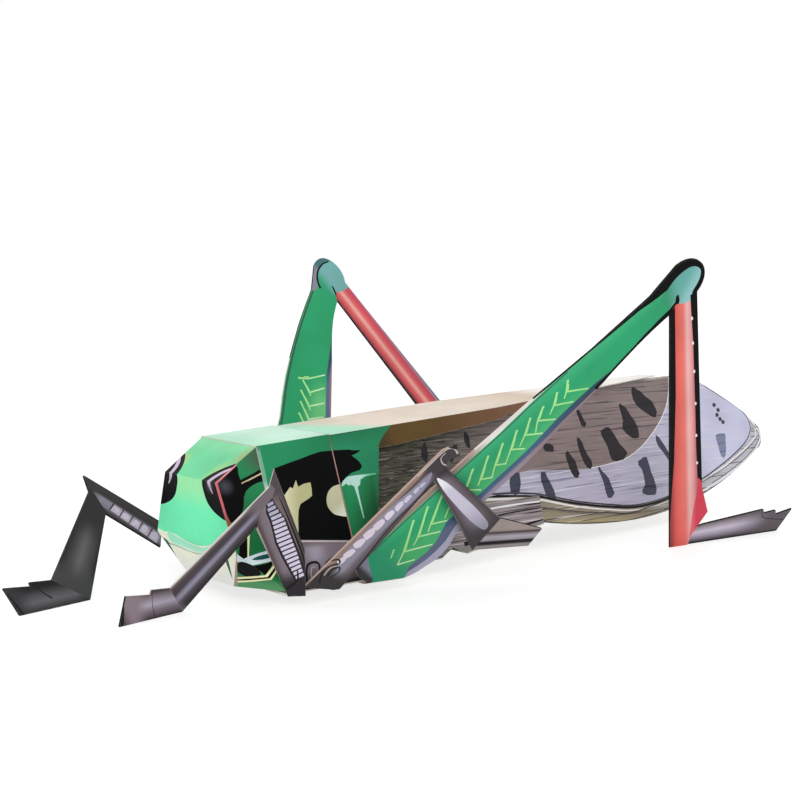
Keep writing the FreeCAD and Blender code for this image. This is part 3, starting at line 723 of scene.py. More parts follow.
pale_field = rounded([
    (30, -24.4), (52.5, -22.9), (66.6, -21.7), (83.4, -23), (98, -23.8), (110.4, -23.3),
    (123.4, -21.9), (134.1, -18.3), (143.4, -13.2), (151.1, -7.5), (157, -1.1), (160.3, 6.4),
    (161.6, 14)], 3, closed=False)
pale_field += [(230, 14), (230, -60), (30, -60)]
field_edge = rounded([
    (100, -23.8), (110.4, -23.3), (123.4, -21.9), (134.1, -18.3), (143.4, -13.2), (151.1, -7.5),
    (157, -1.1), (160.3, 6.4), (161.6, 14)], 3, closed=False)
dark_bars = [
    [(136.1, 6.2), (139.2, 5.7), (143, 2.6), (148.3, -2.7), (147.4, -6), (144.7, -6.2), (139.5, -3),
     (136.2, 1.7)],
    [(125.8, -0.6), (127.3, 0.1), (131.3, -4.2), (134.1, -10.9), (133.9, -14.2), (129.9, -14.3),
     (125.8, -10.4), (126.2, -6.3)],
    [(112.1, -9.5), (114.9, -8.5), (118.2, -10.3), (120.7, -15.3), (124.1, -19.2), (121.5, -21.8),
     (115.2, -21.7), (114, -16.4), (111.9, -12.7)],
    [(96, -12.7), (98, -11.7), (99.4, -15.7), (101.8, -20.6), (102.3, -23.4), (99.4, -23.2),
     (96.9, -18.7)],
    [(88.4, -16.8), (90.2, -16.6), (92.8, -20.7), (94, -25.4), (91.4, -26.4), (89.5, -22)],
    [(98.5, -0.3), (100.2, -0.8), (102.2, -4.9), (102.3, -6.9), (99.9, -6.7)],
    [(76.5, -13.2), (79.6, -12.3), (81.6, -13.6), (81.1, -15.5), (77.1, -15.6)],
    [(14, -7.6), (15.1, -7), (15.2, -10.9), (14, -14.3), (12.1, -11.7)],
    [(34.9, -5.8), (36.4, -5.9), (36.9, -10.7), (35.4, -10.2)],
    [(28, -9.3), (29.9, -9.8), (28.7, -13), (26.2, -15.3), (25.7, -12.7)],
]
blue_bars = [
    [(56, -22.1), (60.3, -22.5), (58.6, -29.4), (55, -28.7)],
    [(72.3, -23.6), (74.6, -23.4), (76.6, -27), (78.1, -32.8), (78.3, -34.4), (73.9, -33.6),
     (72.7, -28.9)],
    [(106.4, -24.2), (108.1, -25.1), (110.9, -28.5), (112.7, -33.4), (112.2, -35.4), (109, -35.8),
     (107.9, -30.6)],
    [(133.7, -22.4), (136.9, -22.6), (138.6, -28.5), (139.5, -35.1), (138.2, -37.5), (131.2, -36.4),
     (133.4, -32.9), (133, -27.2), (131.5, -25.4)],
    [(146, -13.8), (148.3, -15.2), (152.1, -21.3), (152.5, -24.7), (151.2, -24.6), (146.7, -18.4)],
]
tip_bar = [
    (187.6, -16.4), (193.9, -16.7), (194.1, -19.3), (192.4, -25.7), (188.7, -26.1), (187.9, -21.3)]
tip_ovals = [(190, -3.7), (192.3, -6), (190.9, -8.1), (192.6, -10), (194.4, -11.4)]


def oval(x, y, width, height, lean=0.0):
    turns = [math.tau * k / 10 for k in range(10)]
    return [(x + width * math.cos(a) + lean * math.sin(a), y + height * math.sin(a)) for a in turns]


forewing_edge = [
    (36, -28.2), (47, -29), (58, -29.8), (70, -31.4), (90, -36), (110, -39.3), (125, -41),
    (141, -40.4), (157, -38), (173.4, -34.4), (182.5, -31.7), (193.3, -28.1), (203.7, -24),
    (210.2, -20.5), (213.6, -17.2), (214.6, -15), (214.2, -11.8), (211.6, -8.3), (205.7, -4.6),
    (195.7, 0.4), (184.9, 5.5)]
first_ply = [
    (47, -32.5), (70, -36.2), (90, -39.9), (110, -42.4), (125, -43.5), (159, -38.9), (186, -32.7),
    (198.4, -28.7), (208, -25.2), (216.2, -21.4), (219.5, -18.5), (218, -12.9), (209, -6.3),
    (198, -1.4)]
second_ply = [
    (47, -36.4), (70, -41.5), (90, -44.3), (110, -45.9), (125, -46.3), (161, -43), (180.5, -38.7),
    (192.6, -35.4), (206.2, -30.9), (216.3, -26.3), (221.7, -22.2), (223.3, -19.2), (222, -15.7),
    (214.4, -9.1), (204, -4.4)]


def drawn_in(points, depth):
    """A line that follows an open edge of the wing a little inside it."""
    inner = []
    for i, place in enumerate(points):
        before = Vector(points[max(i - 1, 0)])
        after = Vector(points[min(i + 1, len(points) - 1)])
        run = (after - before).normalized()
        inner.append(tuple(Vector(place) + Vector((-run.y, run.x)) * depth))
    return inner


def ragged(points, amount, widen=1.0):
    """An outline inked with a dry brush, so it steps in and out a little."""
    middle = sum(x for x, y in points) / len(points)
    outline = []
    for i, (x, y) in enumerate(rounded(points, 2)):
        x = middle + (x - middle) * widen
        outline.append((x + amount * math.sin(7.3 * i + x), y + amount * math.cos(5.1 * i + y)))
    return outline


wing_print = [Shape(ink_wing_pale, pale_field), Shape(ink_white_and_highlight, stroke(field_edge, 0.3, 0.5))]
wing_print += [Shape(ink_bar, ragged(bar, 0.42, 1.16)) for bar in dark_bars]
wing_print += [Shape(ink_bar_blue, ragged(bar, 0.38, 1.14)) for bar in blue_bars]
wing_print += [Shape(ink_bar_faint, ragged(tip_bar, 0.3))]
wing_print += [Shape(ink_bar_blue, oval(x, y, 1.3, 0.95)) for x, y in tip_ovals]
wing_print += [drawn(ink_wing_line, drawn_in(forewing_edge, 0.35), 0.7, 0.5)]
for side in ("left", "right"):
    card_piece(
        f"forewing_{side}", [Panel(faces_out, on_wing, ink_wing, wing_print)],
        rim=lambda c: ink_wing_line)

ink_underwing = printed_card(
    "ink_underwing", (146, 136, 116),
    [((168, 156, 118), slope(-0.09, -1, 32.6, 35.6)), ((196, 195, 204), further(130, 185)),
     ((92, 84, 72), ruled), ((200, 196, 190), pale_ruled)])
under_print = [
    # The first two strokes are painted light: painted shadow just below the forewing's edge, then a pale
    # painted highlight.
    drawn(ink_dark_and_shadow, drawn_in(forewing_edge[:9], -0.4), 1.2, 0.8),
    drawn(ink_white_and_highlight, drawn_in(forewing_edge[:9], -1.6), 1, 0.3),
    drawn(ink_wing_line, drawn_in(first_ply, 0.3), 0.45, 0.35),
    drawn(ink_white_and_highlight, drawn_in(first_ply[5:], 1.1), 0.8, 0.8),
    drawn(ink_wing_line, drawn_in(second_ply, 0.3), 0.4, 0.35),
    drawn(ink_white_and_highlight, drawn_in(second_ply[5:], 1.2), 0.9, 0.9),
    drawn(ink_wing_line, drawn_in(second_ply[6:], 2.1), 0.3, 0.3),
]
for side in ("left", "right"):
    card_piece(
        f"hindwing_{side}", [Panel(faces_out, on_wing, ink_underwing, under_print)],
        rim=lambda c: ink_wing_line)

# ------------------------------------------------------------------------------- the abdomen tray
# A shallow tray under the wings, folded from one sheet, with an arch cut in each side where
# its floor bends. Its sides are ruled along with dark and pale lines.

ink_tray = printed_card(
    "ink_tray", (150, 138, 142),
    [((92, 82, 82), scribble), ((206, 200, 206), ruling(1, 0.55, 0.6, 11)),
     ((46, 42, 44), ruling(1.4, 0.56, 0.6, 47))])
ink_tray_grey = printed_card("ink_tray_grey", (132, 130, 128))
tray_print = [
    Shape(ink_tray_grey, [(20, -46), (72, -40.6), (72, -46), (20, -52)]),
    drawn(ink_dark_and_shadow, [(26, -44.6), (45, -42.4), (60, -41.2), (69, -40.4)], 1.5, 0.6),
    drawn(ink_dark_and_shadow, [(30, -37.4), (50, -36.2), (69, -36)], 0.5, 0.5),
    drawn(ink_white_and_highlight, [(30, -34.2), (50, -33.4), (69, -33.6)], 0.7, 0.6),
]
card_piece("abdomen_tray", [
    Panel(lambda n, c: abs(n.y) > 0.8, on_wing, ink_tray, tray_print),
], core=(80, 0, 30))


# --------------------------------------------------------------------------------------- the legs
# Each leg is doubled card cut to shape and printed on both faces. Its root turns in under the
# belly as a glue tab, and its foot is folded on at the ankle.

class LegPlane:
    """A leg's flat plane, read along the upper leg and along the shin."""

    def __init__(self, root, knee, ankle):
        self.root = Vector(root)
        self.knee = Vector(knee)
        thigh = self.knee - self.root
        shin = Vector(ankle) - self.knee
        self.normal = thigh.cross(shin).normalized()
        self.along = thigh.normalized()
        self.up = self.normal.cross(self.along)
        self.up *= 1 if self.up.z > 0 else -1
        self.thigh = thigh.length
        down = shin.normalized()
        aside = self.normal.cross(down)
        aside *= 1 if aside.x > 0 else -1
        self.down = Vector((down.dot(self.along), down.dot(self.up)))
        self.aside = Vector((aside.dot(self.along), aside.dot(self.up)))

    def flat(self, place):
        """Along the upper leg and up from it."""
        offset = place - self.root
        return offset.dot(self.along), offset.dot(self.up)

    def on_shin(self, outline):
        """An outline read down the shin and aside from it, laid on the whole leg's plane."""
        knee = Vector((self.thigh, 0))
        return [tuple(knee + self.down * t + self.aside * s) for t, s in outline]

    def shin_place(self, flat):
        """The same place read down the shin and aside."""
        offset = Vector(flat) - Vector((self.thigh, 0))
        return offset.dot(self.down), offset.dot(self.aside)

    def shows(self, normal, centre):
        return abs(normal.dot(self.normal)) > 0.995

    def shin_shape(self, ink, outline):
        return Shape(ink, self.on_shin(outline), self.shin_place)


def foot_place(heel, toe, tip):
    """Reads a foot from its heel: along to the toe, and up from its sole."""
    heel = Vector(heel)
    along = (Vector(toe) - heel).normalized()
    up = Vector(tip) - Vector(toe)
    up = (up - along * up.dot(along)).normalized()
    return lambda place: ((place - heel).dot(along), (place - heel).dot(up))


def airbrushed(low, high, stops):
    """Ink sprayed in soft bands along a limb. Low and high are the limb's two edges, each as
    an offset and a slant, and the stops run from the low edge to the high one."""
    stops = [(place, tone(colour)) for place, colour in stops]

    def bands(finish, across, up):
        edge = up - (across * low[1] + low[0])
        width = across * (high[1] - low[1]) + (high[0] - low[0])
        return finish.node("ValToRGB", {"stops": stops}, {0: edge / width})

    return bands


edge_black = printed_card("edge_black", (36, 33, 35), gloss=0.7, sheen=0.05, wear=0.1)
edge_pink = printed_card("edge_pink", (186, 160, 150), gloss=0.75, fibres=2.5)
edge_pale = printed_card("edge_pale", (226, 220, 214), gloss=0.75, fibres=2.5)
leg_card = 0.8      # two plies of card

# ---------------------------------------------------------------------------------- the hind legs
# Femur and shin, cut as one from doubled card. Outside: green with yellow-green chevrons, a blue
# and lavender lower border, a blue-green cap ringed in black, and a red shin with white points.
# Inside: green with a few short chevrons, a grey and blue-green cap, and a pinker shin.

hind_planes = {
    "left": LegPlane((33, -36.4, 5), (112.2, -89.7, 90.5), (171, -47, 0)),
    "right": LegPlane((45, 36.4, 5), (112.2, 89.7, 90.5), (171, 47, 0)),
}
femur_top = {
    "left": [
        (8, 0), (25, 1.6), (45, 2.4), (58, 1.5), (85, 1.2), (96, 0.1), (108, -0.9), (122, -1),
        (131, 0)],
    "right": [
        (2, 0), (14, -1.6), (34, -3.8), (50, -4.2), (58, -3.2), (68, -2.2), (80, -1.6), (100, -0.9),
        (120, -0.9), (129, -1.4), (133, -1), (138, 0)],
}
femur_low = {
    "left": [
        (6, 0.1), (14, 1.1), (19, 0.7), (25, 1.2), (30, 2.8), (42, 2.9), (50, 2.5), (58, 1.9),
        (66, 2.4), (70, 3), (97, 0.7), (108, 0)],
    "right": [(50, 0), (66, -0.8), (80, -0.6), (97, -0.5), (110, 0)],
}
femur_middle = 8        # parts the femur's upper edge from its lower one
top_end, low_end = 139, 118
tab_height = -16        # the glue tab under the belly is all below this


def cut_truer(side, plane):
    """The femurs are cut narrower below, and bowed by a different amount on each side."""

    def trim(place):
        along, up = plane.flat(place)
        off_plane = abs((place - plane.root).dot(plane.normal)) > leg_card
        table, end = (femur_top, top_end) if up > femur_middle else (femur_low, low_end)
        if off_plane or up < tab_height or along > end:
            return place
        return place + plane.up * float(np.interp(along, *zip(*table[side])))

    return trim


def lower_part(start, end, low, high):
    """A mask for the band of a femur below a height, fading out along it."""
    return lambda finish, across, up: up.soft(high, low) * across.soft(end, start)


ink_femur = printed_card(
    "ink_femur", (36, 168, 112),
    [((74, 188, 116), lower_part(80, 104, -3, 8)), ((58, 182, 124), higher(7, 13)),
     ((34, 158, 112), nearer(14, 5))])
ink_far_femur = printed_card(
    "ink_far_femur", (34, 164, 106), [((110, 206, 130), lower_part(66, 82, -4, 5))])
ink_chevron = printed_card("ink_chevron", (176, 240, 152), [((214, 248, 196), lower(2, -2))])
ink_navy = printed_card(
    "ink_navy", (66, 98, 130),
    [((40, 66, 84), further(62, 100)), ((98, 108, 140), lower(-3.4, -5))])
ink_lavender = printed_card(
    "ink_lavender", (186, 180, 206),
    [((158, 146, 166), further(28, 46)), ((150, 126, 138), further(46, 74))])
ink_white = printed_card("ink_white", (246, 246, 242))
ink_rust = printed_card("ink_rust", (166, 140, 128), [((246, 244, 238), further(46, 60))])
ink_cap = printed_card(
    "ink_cap", (104, 178, 170),
    [((52, 160, 116), slope(-1, 0.3, -133, -127)), ((146, 200, 200), slope(0.6, -1, 74, 82))])
ink_far_cap = printed_card(
    "ink_far_cap", (116, 176, 174), [((40, 158, 110), slope(-1, 0.5, -126, -119))])
ink_grey_rim = printed_card(
    "ink_grey_rim", (136, 132, 150),
    [((64, 112, 112), slope(1, -0.2, 126, 130)), ((132, 128, 150), slope(1, -0.8, 132, 136))])
ink_root = printed_card("ink_root", (142, 136, 160), [((44, 40, 46), nearer(0.8, -1.6))])
ink_far_line = printed_card("ink_far_line", (58, 84, 76))
red_stops = [
    (0, (150, 50, 52)), (0.08, (190, 70, 68)), (0.17, (226, 96, 88)), (0.33, (240, 110, 98)),
    (0.47, (238, 124, 116)), (0.60, (246, 190, 186)), (0.72, (240, 162, 162)), (0.82, (204, 112, 124)),
    (1, (214, 62, 84))]
ink_shin = printed_card("ink_shin", airbrushed((0, -0.037), (11.2, 0), red_stops))
ink_crimson = printed_card("ink_crimson", (222, 58, 84), [((236, 112, 122), lower(8.4, 5.4))])
far_stops = [
    (0, (60, 34, 40)), (0.05, (110, 52, 58)), (0.11, (190, 66, 72)), (0.3, (230, 106, 104)),
    (0.45, (248, 180, 170)), (0.58, (230, 106, 104)), (0.74, (214, 76, 94)), (0.86, (202, 80, 98)),
    (0.91, (168, 148, 170)), (1, (124, 118, 136))]
ink_far_shin = printed_card("ink_far_shin", airbrushed((-0.6, -0.026), (12.2, -0.027), far_stops))

# each chevron: the top of its long arm, its corner, the end of its short arm, and its tail
chevrons = [
    ((22.1, 10.2), (12.5, 1.6), (20.8, -5.6), (8, -1.1)),
    ((28.4, 10.5), (19.2, 2.4), (25.6, -3.4), (16.1, 0.7)),
    ((34.6, 10.2), (25, 2.8), (30.8, -2.6), (22.6, 0.6)),
    ((41, 9.6), (33.4, 3.2), (38.4, -2.2), (29.6, 0.2)),
    ((47.2, 9.3), (40.7, 4), (44.5, -1.5), (37, 0.8)),
    ((53.6, 9), (46.5, 2.7), (50.1, -0.8), (44.6, 1)),
    ((59.8, 8.8), (53.2, 3), (56.3, -0.2), (49.9, -0.5)),
    ((65.9, 8.9), (60.3, 3.6), (64, -0.9), (55.8, -0.2)),
    ((71.7, 8.9), (66.7, 4.3), (71.7, -1.2), (63.1, 1.6)),
    ((77.3, 8.8), (72.9, 5.3), (77.8, -0.3), (70, 1.4)),
    ((83.5, 9.4), (80, 5.6), (85.9, 0.2), (77.2, 3.5)),
    ((88.6, 10.4), (85.9, 6.5), (92.4, 0.1), (84, 4.6)),
]
far_chevrons = [
    ((72.6, 9), (75.2, 4.4), (81.5, -2.4), (76.4, 3.6)),
    ((73, 6.8), (69.1, 2.6), (75.3, -3.5), (68, 1.6)),
    ((68, 6.6), (62.8, 1.4), (68.5, -5.1), (61.4, 0.2)),
    ((62.9, 5.6), (57, 0.2), (62, -6), (55, -1.2)),
    ((57.4, 5), (51.4, -0.8), (56, -6.6), (49.6, -2)),
    ((52, 4.6), (45.8, -1.4), (50, -7), (44, -2.8)),
]


def chevron_shapes(marks):
    shapes = []
    for top, corner, end, tail in marks:
        shapes.append(drawn(ink_chevron, [top, corner, tail], 0.95, 0.4))
        shapes.append(drawn(ink_chevron, [corner, end], 0.75, 0.5))
        middle = ((top[0] + corner[0]) / 2 + 0.75, (top[1] + corner[1]) / 2 + 0.1)
        shapes.append(drawn(ink_chevron, [middle, (corner[0] + 0.8, corner[1] + 0.1)], 0.3, 0.6))
    return shapes


navy_band = [
    (7.4, -7.6), (9.8, -6), (13.5, -6.1), (17.3, -6.6), (22, -5.9), (26.2, -3.7), (29.6, -1.6),
    (34, -2.2), (41.9, -2.6), (57.8, -2.5), (64.1, -2.3), (70.5, -1.7), (77.7, -0.7), (84.6, -0.3),
    (94.9, -0.3), (104, -1.2), (104, -8), (43, -9), (30, -11), (20, -12), (12, -9.6)]
low_border = [
    (6.4, -8.8), (8.6, -7.6), (12, -8.6), (16, -9.4), (19.9, -9.5), (24.6, -8.9), (28.1, -7.4),
    (32, -5.9), (43.2, -5.1), (60.1, -4.9), (72.3, -4.3), (78.4, -3.5), (90.8, -2.8), (96, -2.6),
    (97, -8), (40, -14), (20, -18), (6, -14)]
root_border = [(-3, 0), (-0.8, 1.6), (0.8, 6), (2, 9), (3.6, 12), (6, 20), (-8, 20), (-8, 0)]
first_marks = [[(8, -1.1), (13.2, -5.3)], [(10.9, 5.8), (8.1, 3.5)]]
tail_border = [
    (94, -1.7), (101.4, -1), (106.9, -0.2), (111.5, 0.3), (116.8, 1.2), (121.8, 1.7), (125.2, 2.1),
    (128.6, 2.2), (131.6, 3), (132.9, 5), (133.9, 4.8), (133.2, 2.2), (131, -0.4), (128, -3), (96, -9)]
top_border = [
    (-8, 9), (-8, 24), (90, 24), (90, 14.6), (74.1, 14.2), (60.8, 13.5), (43.7, 13.6), (20, 13.4),
    (2, 12.9), (-1.4, 9)]
top_line = [(2, 11.9), (20, 12.6), (43.7, 12.8), (60.8, 12.8), (74.1, 13.4), (90, 13.4)]
black_top = [
    (84, 24), (84, 14.9), (90, 13.9), (95.7, 13.7), (101.7, 13.2), (107.8, 12.8), (113.9, 12.4),
    (120.2, 12), (123.9, 11.2), (127.8, 10.6), (131.8, 10.2), (136, 11.7), (140.6, 11.4),
    (143.3, 9.6), (144.2, 6.6), (142.8, 4), (140.7, 2.4), (138.4, 1.2), (136.4, -2.4), (135.4, -9),
    (150, -12), (160, 8), (140, 26)]
cap = rounded([
    (131.2, 10.2), (136, 11.8), (140.8, 11.4), (143.3, 9.6), (144.2, 6.6), (142.8, 4), (140.7, 2.4),
    (138.2, 1), (136.2, -2.6), (133, -4), (129.4, 0.8), (128, 5), (128.4, 8.8)], 3)
outer_shin = [
    (-1.2, 8.8), (-1.8, 5.1), (-3, 2.6), (-1, 0.4), (3, -3), (30, -4), (60, -6), (124, -8),
    (124, 12), (92, 12.6), (60, 12.6), (10, 12.6), (-1, 12.6)]
shin_left_black = [
    (-2.2, 2), (20, 1.4), (37, 0.9), (68.5, -1), (84, -2.6), (104, -4.5), (104, -10), (30, -4.4),
    (3, -3), (-1, 0.3)]
shin_right_black = [
    (-3.8, 8.2), (4.4, 8.4), (17, 8.8), (47, 8.9), (66, 8.8), (84, 9), (92, 10.6), (92, 20), (-3.8, 20)]
flare = [(84, 9.4), (92, 8.4), (102, 6.2), (112, 4.6), (124, 4), (124, 20), (90, 20), (88, 11.2)]
dots = [(6.5, 8.6), (17.5, 8.7), (30.6, 8.9), (46, 9.1), (61.8, 9), (76, 9)]

far_cap = [
    (120, 9), (122.4, 10), (125.8, 11.9), (130.1, 12), (134.3, 10.7), (137.4, 8.4), (142, 5),
    (142, -2), (134, -4), (128, -4), (123.4, 0.8), (120.4, 5)]
far_ring = [(121.4, 9.2), (123.6, 11), (126.4, 12.1), (130.1, 12.3), (134.3, 11), (137.4, 8.7)]
far_rim = [
    (118, 11.8), (121, 10.4), (123.6, 11.6), (126.4, 12.3), (130.1, 12.4), (134.3, 11.1),
    (138, 8.4), (141, 5.6), (146, 8), (136, 24), (116, 20)]
far_border = [
    (40, -9.6), (54, -8.4), (65, -6.6), (73.1, -4.8), (84.6, -2.9), (93.6, -2.1), (104, -1.1),
    (104, -14), (40, -18)]
far_low = [(40, -12), (60, -10), (70, -7.2), (84, -4.6), (92, -3.6), (92, -14), (40, -18)]
far_top = [(30, 10.6), (50, 11.4), (68.4, 13.4), (90.9, 13.9), (111.6, 12.8), (120, 12)]

outer_marks = chevron_shapes(chevrons) + [
    Shape(ink_rust, top_border), Shape(ink_far_line, stroke(top_line, 0.45, 0.5)),
    Shape(ink_navy, navy_band), Shape(ink_lavender, low_border),
    Shape(ink_root, root_border), Shape(ink_black, black_top), Shape(ink_cap, cap),
    Shape(ink_black, tail_border)]
outer_marks += [drawn(ink_chevron, mark, 0.7, 0.5) for mark in first_marks]
inner_marks = chevron_shapes(far_chevrons) + [
    Shape(ink_navy, far_border), Shape(ink_lavender, far_low),
    drawn(ink_far_line, far_top, 0.8, 0.8), Shape(ink_far_cap, far_cap), Shape(ink_grey_rim, far_rim),
    drawn(ink_black, far_ring, 1.1, 0.5), drawn(ink_black, [(126.4, 4), (121.6, -0.4)], 0.8, 1)]


def along_leg(outline, shift):
    return [(x - shift, y) for x, y in outline]


bare_start, bare_end = 44, 84
outer_femur, inner_femur = 128.2, 121.0     # the lengths that the two faces' prints are drawn to


def hind_rim(plane):
    """The femur's upper edge shows bare card; the other cut edges are inked."""

    def rim(middle):
        along, up = plane.flat(middle)
        if along < bare_start:
            return edge_pink
        return edge_pale if along < bare_end and up > femur_middle else edge_black

    return rim


for side, plane in hind_planes.items():
    shift = outer_femur - plane.thigh if side == "right" else 0.0
    outer = [Shape(mark.ink, along_leg(mark.outline, shift)) for mark in outer_marks]
    outer += [
        plane.shin_shape(ink_shin, outer_shin), plane.shin_shape(ink_black, shin_left_black),
        plane.shin_shape(ink_black, shin_right_black), plane.shin_shape(ink_crimson, flare)]
    outer += [plane.shin_shape(ink_white, oval(t, s, 0.8, 0.45, 0.2)) for t, s in dots]
    shift = inner_femur - plane.thigh if side == "left" else 0.0
    inner = [Shape(mark.ink, along_leg(mark.outline, shift)) for mark in inner_marks]
    inner += [plane.shin_shape(ink_far_shin, outer_shin), plane.shin_shape(ink_crimson, flare)]
    card_piece(f"hind_leg_{side}", [
        Panel(
            lambda n, c, p=plane: p.shows(n, c) and faces_out(n, c), plane.flat, ink_femur, outer),
        Panel(plane.shows, plane.flat, ink_far_femur, inner),
    ], thickness=leg_card, rim=hind_rim(plane), trim=cut_truer(side, plane))

# ---------------------------------------------------------------------------------- the hind feet
# A strip of doubled card, folded long and flat and glued to the inner face of each shin. It is
# printed in grey with a pale streak and a dark lower edge.

foot_stops = [
    (0, (34, 32, 36)), (0.10, (72, 66, 74)), (0.30, (172, 162, 180)), (0.52, (222, 212, 234)),
    (0.72, (170, 158, 168)), (0.9, (96, 86, 92)), (1, (62, 56, 60))]
ink_hind_foot = printed_card(
    "ink_hind_foot", airbrushed((0, 0), (8.4, 0.075), foot_stops),
    [((92, 82, 88), further(24, 48))])
for side, y in (("left", -1), ("right", 1)):
    flat = foot_place((171, 46.3 * y, 0), (227, 57.0 * y, 0), (227, 57.0 * y, 10))
    marks = [
        drawn(ink_dark_and_shadow, [(-4, 0.2), (30, 0.3), (58, 0.3)], 0.8, 0.8),
        drawn(ink_dark_and_shadow, [(40, 10), (43, 6.8), (57, 4.6)], 0.3, 0.3),
    ]
    card_piece(
        f"hind_foot_{side}", [Panel(faces_aside, flat, ink_hind_foot, marks)],
        thickness=leg_card, rim=lambda c: edge_black)

# -------------------------------------------------------------------------------- the middle legs
# Upper leg and shin are cut as one from doubled card. Brown along the top, with a row of pinkish
# patches on a lavender band below it, and a shin with one long pale streak.

middle_planes = {
    "left": LegPlane((17, -36.4, 5), (39.5, -60, 43), (65, -47, 12.3)),
    "right": LegPlane((17, 36.4, 5), (49.5, 57.5, 35.5), (81, 46.6, 10)),
}
middle_stops = [
    (0, (58, 50, 56)), (0.10, (92, 82, 90)), (0.26, (122, 112, 122)), (0.36, (150, 144, 160)),
    (0.52, (158, 152, 170)), (0.62, (118, 106, 112)), (0.70, (76, 64, 62)), (0.80, (150, 124, 116)),
    (0.93, (160, 134, 124)), (1, (124, 100, 90))]
ink_middle = printed_card(
    "ink_middle", airbrushed((-1.5, 0), (11.8, -0.115), middle_stops),
    [((52, 47, 50), nearer(6.5, 1.5)), ((66, 58, 62), further(44, 49))])
ink_patch = printed_card("ink_patch", (234, 220, 234), [((196, 198, 222), further(26, 44))])
ink_band = printed_card("ink_band", (150, 146, 168))
shin_stops = [
    (0, (150, 142, 148)), (0.04, (70, 62, 68)), (0.20, (104, 94, 102)), (0.38, (132, 122, 134)),
    (0.60, (120, 110, 120)), (0.80, (96, 86, 92)), (0.96, (66, 60, 64)), (1, (190, 182, 184))]
ink_middle_shin = printed_card(
    "ink_middle_shin", airbrushed((-3.3, 0.078), (2.2, 0.30), shin_stops),
    [((60, 54, 58), further(27, 38)), ((52, 46, 50), nearer(7, 1))])
ink_streak = printed_card(
    "ink_streak", (214, 208, 228),
    [((252, 250, 255), nearer(12, 5)), ((160, 154, 174), further(20, 36))])
middle_foot_stops = [
    (0, (126, 122, 120)), (0.12, (158, 152, 152)), (0.19, (120, 112, 114)), (0.24, (14, 13, 14)),
    (0.38, (20, 18, 19)), (0.44, (156, 148, 156)), (0.62, (178, 170, 180)), (0.76, (126, 116, 120)),
    (0.85, (42, 38, 40)), (0.93, (152, 136, 134)), (1, (164, 148, 144))]
ink_middle_foot = printed_card("ink_middle_foot", airbrushed((0, 0), (7.4, -0.02), middle_foot_stops))

band = rounded([
    (4, 4.6), (9.6, 8), (18.8, 7.4), (27.4, 6.6), (35.6, 5.1), (43.3, 3.2), (48, 2.4), (45.6, 0.6),
    (40.2, -0.3), (31.6, 0.8), (22.7, 1.7), (14.3, 3.2), (7, 4.4)], 2)
patches = [
    (8.4, 6.8, 1.6), (12, 6.3, 2), (16.2, 5.9, 2.1), (20.6, 5.2, 2.2), (25, 4.6, 2.1), (29.2, 4, 1.9),
    (33.2, 3.3, 1.8), (37, 2.7, 1.5), (40.4, 2.2, 1.3), (43.2, 1.8, 1)]
streak = rounded([
    (2.2, -2), (7, 0.6), (14, 3), (23, 5.8), (31.5, 7.9), (35, 8.2), (36.4, 6.9), (34.6, 5.2),
    (27.2, 2.6), (14.1, -0.6), (7.1, -1.8)], 3)
middle_marks = [Shape(ink_band, band)]
middle_marks += [
    Shape(ink_patch, ragged([
        (x - reach, y - 0.8), (x + reach * 0.7, y - reach * 0.7), (x + reach, y + 0.5),
        (x - reach * 0.6, y + reach * 0.75)], 0.25)) for x, y, reach in patches]
middle_marks += [
    drawn(ink_dark_and_shadow, [(8, -1.2), (26, 0.2), (36, -0.9), (46, -1.2)], 0.5, 0.4),
    drawn(ink_dark_and_shadow, [
        (3.3, 11.2), (6.3, 10.9), (8.4, 8.2), (7.4, 6.6), (5.6, 8.8), (2.5, 9.8),
        (-1.4, 7.6)], 0.6, 0.6),
    drawn(ink_dark_and_shadow, [(1.8, 7), (4.6, 7.1), (6.2, 5.4), (4.7, 4.4), (1.9, 5.5)], 0.6, 0.5),
    drawn(ink_pale_line_and_highlight, [(1.6, 8.3), (4.6, 8.4), (6.4, 6.8)], 0.5, 0.3),
    drawn(ink_pale_line_and_highlight, [
        (44.6, 5.9), (49.4, 5.3), (54, 4.8), (57.2, 3.8), (58.2, 1.6), (57.4, -1)], 0.5, 0.6),
    drawn(ink_pale_line_and_highlight, [(52.6, -1.4), (52.2, 1), (53.4, 3.4), (55.6, 3.4)], 0.5, 0.3),
]
middle_cover = [
    (3, -3.6), (-0.4, 1.9), (2.6, 2.4), (5.6, 4.4), (36.5, 14.5), (48, 8), (48, -6), (20, -6)]
middle_feet = {
    "left": foot_place((65, -47, 12.3), (84.2, -53.8, 12.4), (87.2, -57.2, 18.3)),
    "right": foot_place((81, 46.6, 10), (100.2, 53.4, 10.1), (103.2, 56.8, 16)),
}
for side, plane in middle_planes.items():
    shapes = middle_marks + [
        plane.shin_shape(ink_middle_shin, middle_cover), plane.shin_shape(ink_streak, streak)]

    def middle_rim(middle, plane=plane):
        return edge_pink if plane.flat(middle)[1] > 2 else edge_black

    card_piece(f"middle_leg_{side}", [
        Panel(plane.shows, plane.flat, ink_middle, shapes),
        Panel(faces_aside, middle_feet[side], ink_middle_foot, []),
    ], thickness=leg_card, rim=middle_rim)

# --------------------------------------------------------------------------------- the front legs
# Upper leg and shin are cut as one from doubled card: a ladder of pale rungs, then a shin shaded
# dark to pale. The foot is folded forward, with a faint line across. The right one is darker.

